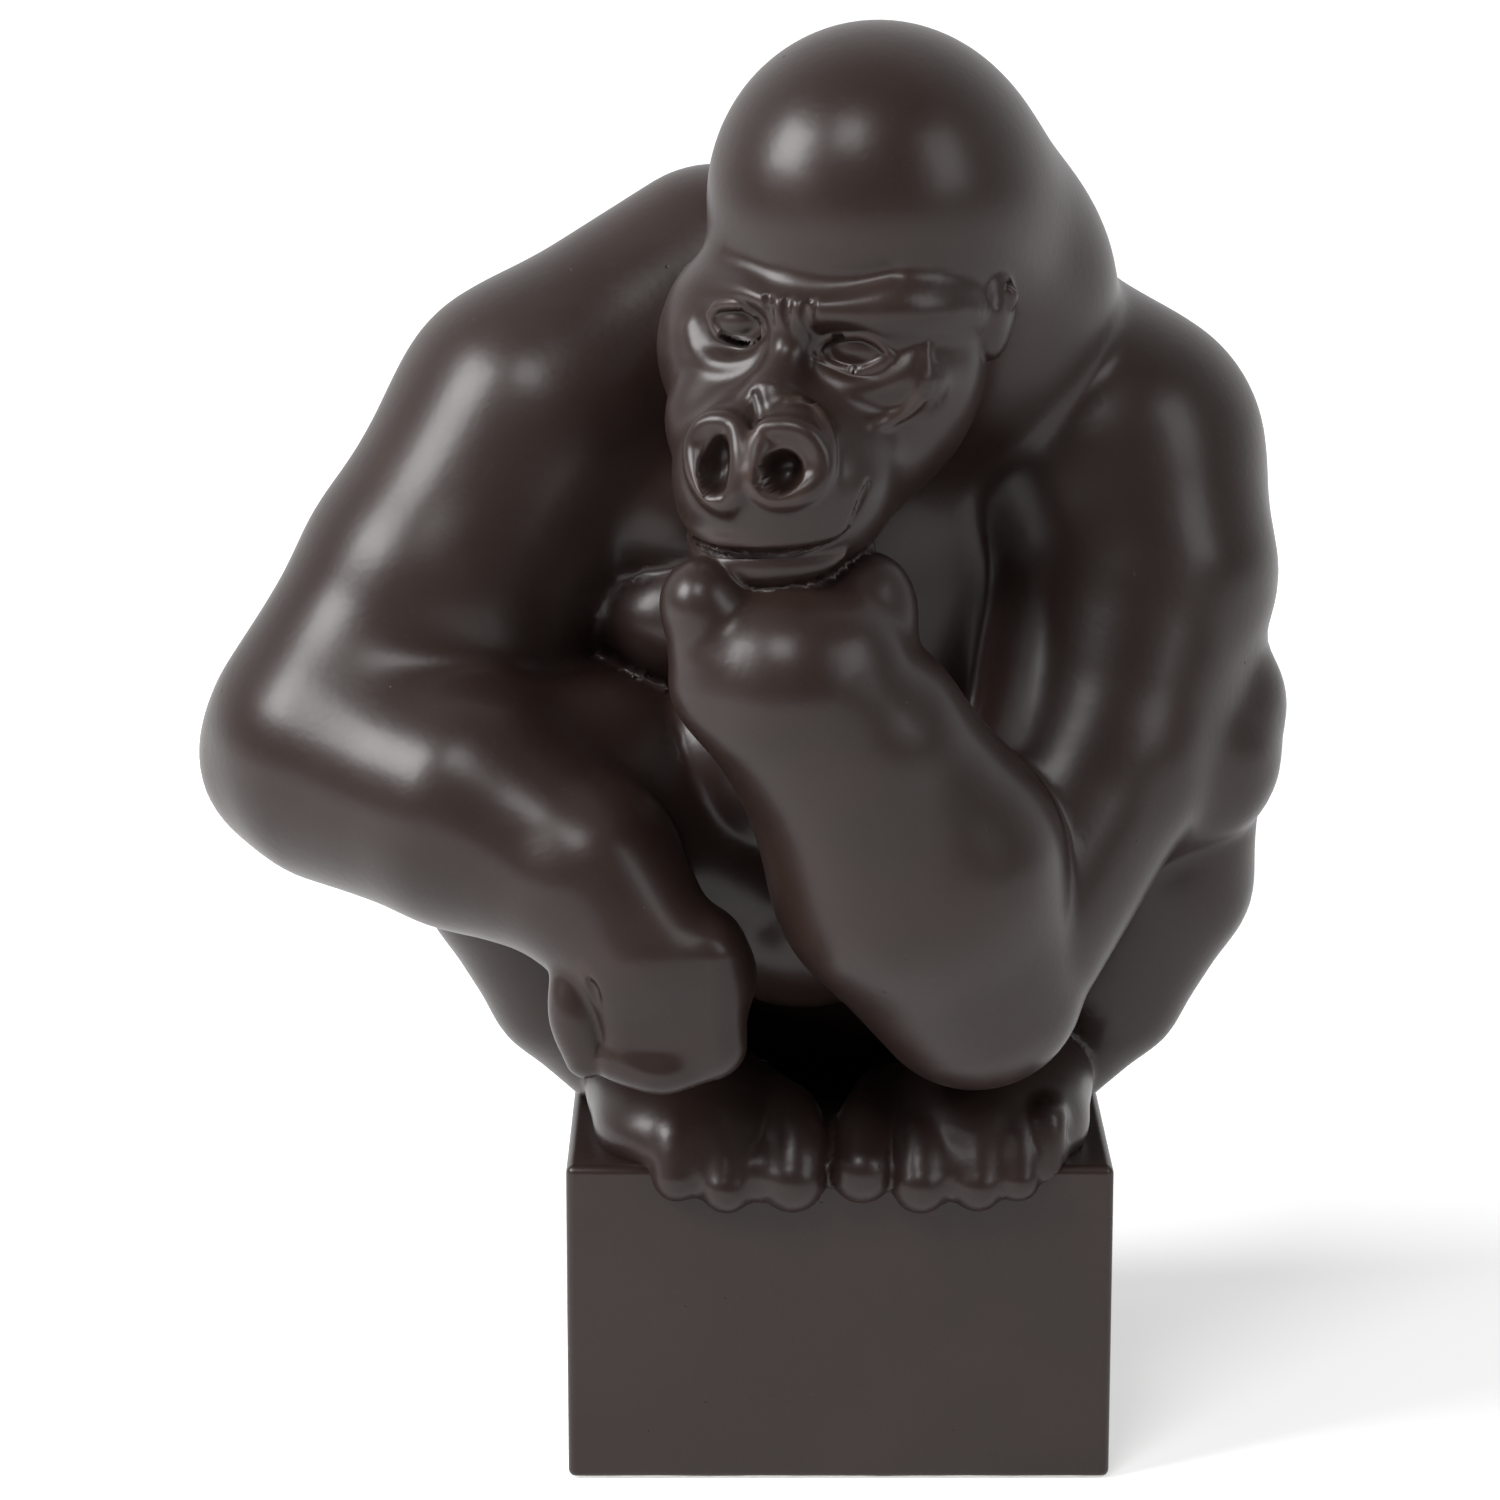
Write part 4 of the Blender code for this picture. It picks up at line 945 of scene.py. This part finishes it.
def line_inside(bm, wall, field):
    """Close an open skin with a copy of itself turned round and moved inwards."""
    lining = bm.verts.layers.float.new("lining")
    slope = bm.verts.layers.float_vector["slope"]
    rim = [edge for edge in bm.edges if edge.is_boundary]
    copy = bmesh.ops.duplicate(bm, geom=bm.verts[:] + bm.edges[:] + bm.faces[:])
    twin = copy["vert_map"]
    inner = [item for item in copy["geom"] if isinstance(item, bmesh.types.BMVert)]
    depth = field(np.array([vertex.co - vertex[slope] * wall for vertex in inner]))
    for vertex, level in zip(inner, depth):
        vertex[lining] = 1.0
        vertex.co -= vertex[slope] * (wall if level < -wall / 2.0 else wall / 5.0)
    skin = [item for item in copy["geom"] if isinstance(item, bmesh.types.BMFace)]
    bmesh.ops.reverse_faces(bm, faces=skin)
    for edge in rim:
        loop = edge.link_loops[0]
        start, end = loop.vert, loop.link_loop_next.vert
        bm.faces.new((end, start, twin[start], twin[end]))


def keep_largest(bm):
    """Drop crumbs of a section that its seams cut off."""
    crumbs = sorted(islands(bm, lambda face: 0)[0], key=len)[:-1]
    bmesh.ops.delete(bm, geom=[face for crumb in crumbs for face in crumb], context="FACES")


def set_normals(mesh, slope):
    """Shade the mesh smoothly with these normals, one for each vertex."""
    mesh.shade_smooth()
    mesh.normals_split_custom_set_from_vertices(slope.tolist())


def smooth_skin(obj):
    """Normals from the clay's own slope, turned round on the inner skin."""
    mesh = obj.data
    slope = np.empty(len(mesh.vertices) * 3)
    mesh.attributes["slope"].data.foreach_get("vector", slope)
    lining = np.empty(len(mesh.vertices))
    mesh.attributes["lining"].data.foreach_get("value", lining)
    set_normals(mesh, slope.reshape(-1, 3) * np.where(lining > 0.5, -1.0, 1.0)[:, None])
    for name in ("slope", "lining"):
        mesh.attributes.remove(mesh.attributes[name])


def to_frame(obj):
    """From the clay's millimetres to the frame's metres."""
    obj.data.transform(Matrix.Translation(Vector(ORIGIN)) @ Matrix.Scale(MM, 4))


def finish_sections(context, names):
    """Take the named sections from the blank, glaze them and put them on the frame."""
    settings = context.scene.figurine_glaze
    sections = figure_sections()
    blank = bpy.data.objects["blank"]
    wall = context.scene.figurine_figure.wall / MM

    def field(points):
        return whole_distance(sections, points)

    for name in names:
        piece = take_section(blank, sections, name, wall, field)
        smooth_skin(piece)
        to_frame(piece)
        stand_for(piece, name, figure_glaze(settings))


def stand_for(piece, node, material):
    """Give a piece its material, and let it stand for a CAD node."""
    piece.data.materials.append(material)
    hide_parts(node)
    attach(piece, "root")


# Materials

class Value:
    """A shader socket in an expression, where each operator adds its Math node."""

    def __init__(self, tree, socket):
        self.tree = tree
        self.socket = socket

    def maths(self, operation, a, b, clamp=False):
        settings = {"operation": operation, "use_clamp": clamp}
        return add_node(self.tree, "ShaderNodeMath", 0, settings, {0: a, 1: b})

    def __add__(self, other):
        return self.maths("ADD", self, other)

    def __radd__(self, other):
        return self.maths("ADD", other, self)

    def __sub__(self, other):
        return self.maths("SUBTRACT", self, other)

    def __rsub__(self, other):
        return self.maths("SUBTRACT", other, self)

    def __mul__(self, other):
        return self.maths("MULTIPLY", self, other)

    def __rmul__(self, other):
        return self.maths("MULTIPLY", other, self)

    def __lt__(self, other):
        return self.maths("LESS_THAN", self, other)

    def clamped(self):
        """The same value held between nothing and one."""
        return self.maths("ADD", self, 0.0, clamp=True)


def feed(tree, slot, value):
    """Link a socket's value, or set a plain number or colour."""
    if isinstance(value, Value):
        tree.links.new(value.socket, slot)
    else:
        slot.default_value = value


def add_node(tree, kind, output=0, settings=None, sockets=None):
    """An output of a new node, which gets its settings first and then its sockets."""
    node = tree.nodes.new(kind)
    for key, value in (settings or {}).items():
        setattr(node, key, value)
    for key, value in (sockets or {}).items():
        feed(tree, node.inputs[key], value)
    return Value(tree, node.outputs[output])


def rays(tree):
    """Whether a ray comes from the camera, off a gloss or through glass."""
    return [add_node(tree, "ShaderNodeLightPath", name)
            for name in ("Is Camera Ray", "Is Glossy Ray", "Is Transmission Ray")]


class Finish:
    """One material's nodes."""

    def __init__(self, name):
        self.material = bpy.data.materials.new(name)
        self.material.use_nodes = True
        self.tree = self.material.node_tree
        self.shader = self.tree.nodes["Principled BSDF"]
        self.place = self.node("ShaderNodeTexCoord", "Object")

    def node(self, kind, output=0, settings=None, sockets=None):
        return add_node(self.tree, kind, output, settings, sockets)

    def noise(self, scale, detail=2.0):
        return self.node("ShaderNodeTexNoise", "Fac", None,
                         {"Vector": self.place, "Scale": scale, "Detail": detail})

    def span(self, value, low, high, out_low=0.0, out_high=1.0):
        """Stretch a value from one range to another, smoothly and within its ends."""
        return self.node("ShaderNodeMapRange", 0, {"interpolation_type": "SMOOTHSTEP"},
                         dict(enumerate((value, low, high, out_low, out_high))))

    def mix(self, share, a, b):
        """A colour between two colours."""
        return self.node("ShaderNodeMix", 2, {"data_type": "RGBA"}, {0: share, 6: a, 7: b})

    def surface(self, **inputs):
        """Feed the shader's inputs, named with underscores for spaces."""
        for key, value in inputs.items():
            feed(self.tree, self.shader.inputs[key.replace("_", " ")], value)

    def bump(self, height, distance):
        self.surface(Normal=self.node("ShaderNodeBump", 0, None,
                                      {"Height": height, "Distance": distance}))


def pinholes(finish, scale, share):
    """Tiny pits in some of a scatter of cells: one at a pit's middle, nothing elsewhere."""
    cell, chance = (
        finish.node("ShaderNodeTexVoronoi", output, None,
                    {"Vector": finish.place, "Scale": scale})
        for output in ("Distance", "Color"))
    red = finish.node("ShaderNodeSeparateColor", "Red", None, {"Color": chance})
    return finish.span(cell, 0.04, 0.12, 1.0, 0.0) * (red < share)


def glaze_surface(finish, settings):
    """Clouds, flecks and pinholes of the satin glaze, on a faint orange peel."""
    cloud = finish.noise(22.0, 3.0)
    fleck = finish.span(finish.noise(900.0), 0.62, 0.74)
    pit = pinholes(finish, 190.0, 0.05)
    peel = finish.noise(420.0, 1.0) * 0.5 + finish.noise(70.0, 1.0)
    finish.bump(peel - pit * 1.5, settings.peel)
    finish.surface(IOR=1.45, Specular_IOR_Level=settings.shine, Coat_Roughness=0.22)
    return cloud, fleck, pit


def figure_glaze(settings):
    """Dark brown-black satin glaze, with a painted highlight over narrow ridges and edges."""
    known = bpy.data.materials.get("dark_glaze")
    if known:
        return known
    finish = Finish("dark_glaze")
    cloud, fleck, pit = glaze_surface(finish, settings)
    ridge = finish.node("ShaderNodeAttribute", "Fac", {"attribute_name": "ridge"})
    # Paler over narrow ridges and edges is a painted highlight; the clouds are the glaze's own
    # paler patches at random
    paler = finish.span(ridge, 0.55, 0.95) * 0.7 + finish.span(cloud, 0.45, 0.7) * 0.3
    colour = finish.mix(paler, tuple(settings.colour), tuple(settings.pale_and_highlight_colour))
    finish.surface(Base_Color=finish.mix(fleck * 0.35, colour, tuple(settings.pale_and_highlight_colour)),
                   Roughness=settings.roughness + (cloud - 0.5) * 0.10 + pit * 0.2,
                   Coat_Weight=settings.gloss)
    return finish.material


def plinth_glaze(settings):
    """The same glaze on the plinth, wiped off at the foot, where bare porcelain shows."""
    finish = Finish("plinth_glaze")
    cloud, fleck, _ = glaze_surface(finish, settings)
    height = finish.node("ShaderNodeSeparateXYZ", "Z", None, {"Vector": finish.place})
    bare = (height + (finish.noise(60.0) - 0.5) * 0.0008) < settings.foot
    paler = finish.span(cloud, 0.45, 0.7) * 0.3 + fleck * 0.3
    dark = finish.mix(paler, tuple(settings.colour), tuple(settings.pale_and_highlight_colour))
    finish.surface(Base_Color=finish.mix(bare, dark, tuple(settings.bare_colour)),
                   Roughness=settings.roughness + (cloud - 0.5) * 0.10 + bare * 0.4,
                   Coat_Weight=(1.0 - bare) * settings.gloss)
    return finish.material


def bare_porcelain(settings):
    """Unglazed porcelain: matt, faintly speckled and sanded."""
    finish = Finish("bare_porcelain")
    speck = finish.span(finish.noise(700.0), 0.66, 0.74)
    cloud = finish.span(finish.noise(30.0, 3.0), 0.4, 0.7)
    pale = finish.mix(cloud * 0.5, tuple(settings.bare_colour), (0.70, 0.67, 0.60, 1.0))
    finish.surface(Base_Color=finish.mix(speck * 0.4, pale, (0.42, 0.37, 0.31, 1.0)),
                   Roughness=0.72 + cloud * 0.1, IOR=1.5)
    finish.bump(finish.noise(1500.0), 0.00006)
    return finish.material


# Settings

def length_setting(name, default, description, least=0.0):
    return bpy.props.FloatProperty(name=name, description=description, default=default,
                                   min=least, unit="LENGTH")


def share_setting(name, default, description):
    return bpy.props.FloatProperty(name=name, description=description, default=default,
                                   min=0.0, max=1.0)


def number_setting(name, default, description):
    return bpy.props.FloatProperty(name=name, description=description, default=default)


def colour_setting(name, red, green, blue, description):
    return bpy.props.FloatVectorProperty(name=name, description=description, subtype="COLOR",
                                         size=4, default=(red, green, blue, 1.0),
                                         min=0.0, max=1.0)


class FigurineFigure(bpy.types.PropertyGroup):
    grain: length_setting("Grain", 2.9 * MM, "Width of the skin's quads on plain places",
                          least=1.5 * MM)
    wall: length_setting("Skin", 0.8 * MM, "Depth of the inner skin that closes each section")


class FigurineGlaze(bpy.types.PropertyGroup):
    colour: colour_setting("Glaze", 0.019, 0.0108, 0.0088, "Glaze where it is thick")
    # Paler glaze: its own flecks and clouds, and on the figure also the painted highlight over
    # narrow ridges and edges
    pale_and_highlight_colour: colour_setting("Pale glaze and painted highlight", 0.036, 0.0215, 0.0178, "Glaze where it runs thin")
    bare_colour: colour_setting("Bare porcelain", 0.80, 0.78, 0.74, "Unglazed porcelain")
    roughness: share_setting("Roughness", 0.37, "Roughness of the satin glaze")
    gloss: share_setting("Gloss", 0.12, "Weight of the glossier top of the glaze")
    shine: share_setting("Shine", 0.30, "Level of the glaze's own reflection")
    peel: length_setting("Orange peel", 0.00010, "Depth of the glaze's ripples")
    foot: length_setting("Bare foot", 0.9 * MM, "Height to which the plinth's foot is wiped bare")


class FigurineStage(bpy.types.PropertyGroup):
    camera_place: bpy.props.FloatVectorProperty(
        name="Camera", description="Where the camera stands", subtype="TRANSLATION", size=3,
        default=(-0.0246, -1.3767, 0.5207))
    camera_pitch: bpy.props.FloatProperty(
        name="Pitch", description="How far the camera looks down", default=math.radians(13.5),
        unit="ROTATION")
    lens: number_setting("Lens", 120.0, "Focal length on a 36 mm sensor, in millimetres")
    key: number_setting("Key light", 40.0, "Power of the lamp at the viewer's left, in watts")
    front: number_setting("Front light", 13.0, "Power of the light over the camera, in watts")
    fill: number_setting("Fill light", 7.0, "Power of the light at the viewer's right, in watts")
    world: share_setting("World", 0.19, "Strength of the world's light on the object")
    floor_colour: colour_setting("Floor", 0.93, 0.93, 0.93, "Colour of the floor")
    floor_lift: share_setting("Floor lift", 0.42, "How much whiter the floor shows close by")
    white_from: length_setting("White from", 1.3, "Distance at which the floor is plain white")


# Operators

class FIGURINE_OT_sculpt(bpy.types.Operator):
    """Sculpt the whole figure's skin and part it into its cast sections"""
    bl_idname = "figurine.sculpt"
    bl_label = "Sculpt the blank"

    def execute(self, context):
        sections = figure_sections()
        blank = sculpt_blank(context.scene.figurine_figure, sections)
        part_blank(blank, sections)
        return {"FINISHED"}


class TakeSections:
    """What the operators that take sections from the blank have in common."""
    names = ()

    def execute(self, context):
        finish_sections(context, self.names)
        return {"FINISHED"}


class FIGURINE_OT_head(TakeSections, bpy.types.Operator):
    """Take the head and its ears from the blank and glaze them"""
    bl_idname = "figurine.head"
    bl_label = "Head and ears"
    names = ("head", "left_ear", "right_ear")


class FIGURINE_OT_arms(TakeSections, bpy.types.Operator):
    """Take the arms and hands from the blank and glaze them"""
    bl_idname = "figurine.arms"
    bl_label = "Arms and hands"
    names = ("left_upper_arm", "left_forearm", "left_hand",
             "right_upper_arm", "right_forearm", "right_hand")


class FIGURINE_OT_legs(TakeSections, bpy.types.Operator):
    """Take the folded legs and the feet from the blank and glaze them"""
    bl_idname = "figurine.legs"
    bl_label = "Legs and feet"
    names = ("left_thigh", "left_shin", "left_foot", "right_thigh", "right_shin", "right_foot")


class FIGURINE_OT_torso(bpy.types.Operator):
    """Glaze the torso, which is what the other sections leave, and clear the blank away"""
    bl_idname = "figurine.torso"
    bl_label = "Torso"

    def execute(self, context):
        finish_sections(context, ("torso",))
        bpy.data.objects.remove(bpy.data.objects["blank"])
        return {"FINISHED"}


class FIGURINE_OT_plinth(bpy.types.Operator):
    """Model the glazed plinth and give the bare slab under it its finish"""
    bl_idname = "figurine.plinth"
    bl_label = "Plinth and underside"

    def execute(self, context):
        settings = context.scene.figurine_glaze
        stand_for(plinth_block(), "plinth", plinth_glaze(settings))
        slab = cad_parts["underside_slab"]
        slab.data.materials.clear()
        slab.data.materials.append(bare_porcelain(settings))
        return {"FINISHED"}


def plinth_block():
    """A block with softly rounded edges; its normals follow the rounded block exactly."""
    bm = bmesh.new()
    size = [PLINTH_HIGH[i] - PLINTH_LOW[i] for i in range(3)]
    middle = Vector([(PLINTH_HIGH[i] + PLINTH_LOW[i]) / 2.0 for i in range(3)])
    matrix = Matrix.Translation(middle) @ Matrix.Diagonal((*size, 1.0))
    bmesh.ops.create_cube(bm, size=1.0, matrix=matrix)
    bmesh.ops.bevel(bm, geom=bm.edges[:], offset=PLINTH_EDGE * MM, offset_type="OFFSET",
                    segments=8, profile=0.5, affect="EDGES", material=-1)
    piece = new_object("plinth_cast", bm)
    _, slope = probe(plinth_pad().distance, (vertex_array(piece.data) - ORIGIN) / MM)
    slope /= np.linalg.norm(slope, axis=1)[:, None]
    set_normals(piece.data, slope)
    return piece


class FIGURINE_OT_stage(bpy.types.Operator):
    """Set the pale floor, the soft studio light, the world and the camera"""
    bl_idname = "figurine.stage"
    bl_label = "Floor, light and camera"

    def execute(self, context):
        stage = context.scene.figurine_stage
        lay_floor(stage)
        light_up(stage)
        set_world(context.scene, stage)
        set_camera(context.scene, stage)
        context.scene.view_settings.view_transform = "Standard"
        return {"FINISHED"}


def lay_floor(stage):
    """A pale floor that keeps the shadow and turns plain white further off."""
    bm = bmesh.new()
    bmesh.ops.create_grid(bm, x_segments=1, y_segments=1, size=6.0)
    floor = new_object("floor", bm)
    finish = Finish("pale_floor")
    seen, glossy, through = rays(finish.tree)
    away = finish.node("ShaderNodeVectorMath", "Value", {"operation": "LENGTH"},
                       {0: finish.place})
    far = finish.span(away, 0.5 * stage.white_from, stage.white_from)
    near = (stage.floor_lift,) * 3 + (1.0,)
    finish.surface(Base_Color=tuple(stage.floor_colour), Roughness=0.9, Specular_IOR_Level=0.0,
                   Emission_Color=finish.mix(far, near, (1.0, 1.0, 1.0, 1.0)),
                   Emission_Strength=(seen + glossy + through).clamped())
    floor.data.materials.append(finish.material)


def area_light(name, place, size, power, aim=(0.0, 0.0, 0.25)):
    """A soft rectangular lamp, turned to the middle of the figure."""
    data = bpy.data.lights.new(name, "AREA")
    data.shape = "RECTANGLE"
    data.size, data.size_y = size
    data.energy = power
    lamp = bpy.data.objects.new(name, data)
    lamp.location = place
    lamp.rotation_euler = (Vector(aim) - Vector(place)).to_track_quat("-Z", "Y").to_euler()
    bpy.context.scene.collection.objects.link(lamp)


def light_up(stage):
    """A key light at the viewer's left, one over the camera and a fill light at the right."""
    area_light("key_light", (-1.35, -0.55, 1.25), (0.8, 0.8), stage.key)
    area_light("front_light", (-0.4, -1.2, 1.75), (0.6, 0.6), stage.front)
    area_light("fill_light", (1.2, -0.8, 1.0), (0.6, 0.9), stage.fill)


def set_world(scene, stage):
    """A dim world for the object, white for the camera and behind the object for reflections."""
    world = bpy.data.worlds.new("studio")
    scene.world = world
    world.use_nodes = True
    tree = world.node_tree
    background = tree.nodes["Background"]
    seen, glossy, through = rays(tree)
    view = add_node(tree, "ShaderNodeTexCoord", "Generated")
    towards = add_node(tree, "ShaderNodeSeparateXYZ", "Y", None, {0: view})
    behind = (towards * 1.2 + 0.2).clamped()
    shown = (seen + (glossy + through) * behind).clamped()
    feed(tree, background.inputs["Color"], (1.0, 1.0, 1.0, 1.0))
    feed(tree, background.inputs["Strength"], shown * (1.0 - stage.world) + stage.world)


def set_camera(scene, stage):
    """The camera from which the photograph was taken."""
    data = bpy.data.cameras.new("photo_camera")
    data.sensor_width = 36.0
    data.lens = stage.lens
    camera = bpy.data.objects.new("photo_camera", data)
    camera.location = stage.camera_place
    camera.rotation_euler = (math.radians(90.0) - stage.camera_pitch, 0.0, 0.0)
    scene.collection.objects.link(camera)
    scene.camera = camera


class FIGURINE_PT_panel(bpy.types.Panel):
    bl_idname = "FIGURINE_PT_panel"
    bl_label = "Porcelain gorilla"
    bl_space_type = "VIEW_3D"
    bl_region_type = "UI"
    bl_category = "Figurine"

    def draw(self, context):
        for step in STEPS:
            self.layout.operator("figurine." + step)
        for group in (context.scene.figurine_figure, context.scene.figurine_glaze,
                      context.scene.figurine_stage):
            box = self.layout.box()
            for name in group.__annotations__:
                box.prop(group, name)


STEPS = ("stage", "sculpt", "head", "arms", "legs", "torso", "plinth")
SETTINGS = {"figurine_figure": FigurineFigure, "figurine_glaze": FigurineGlaze,
            "figurine_stage": FigurineStage}
CLASSES = (FigurineFigure, FigurineGlaze, FigurineStage, FIGURINE_OT_stage, FIGURINE_OT_sculpt,
           FIGURINE_OT_head, FIGURINE_OT_arms, FIGURINE_OT_legs, FIGURINE_OT_torso,
           FIGURINE_OT_plinth, FIGURINE_PT_panel)


def register():
    for item in CLASSES:
        bpy.utils.register_class(item)
    for name, group in SETTINGS.items():
        setattr(bpy.types.Scene, name, bpy.props.PointerProperty(type=group))


def unregister():
    for name in SETTINGS:
        delattr(bpy.types.Scene, name)
    for item in reversed(CLASSES):
        bpy.utils.unregister_class(item)


def main():
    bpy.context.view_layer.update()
    register()
    for step in STEPS:
        getattr(bpy.ops.figurine, step)()


if __name__ == "__main__":
    main()
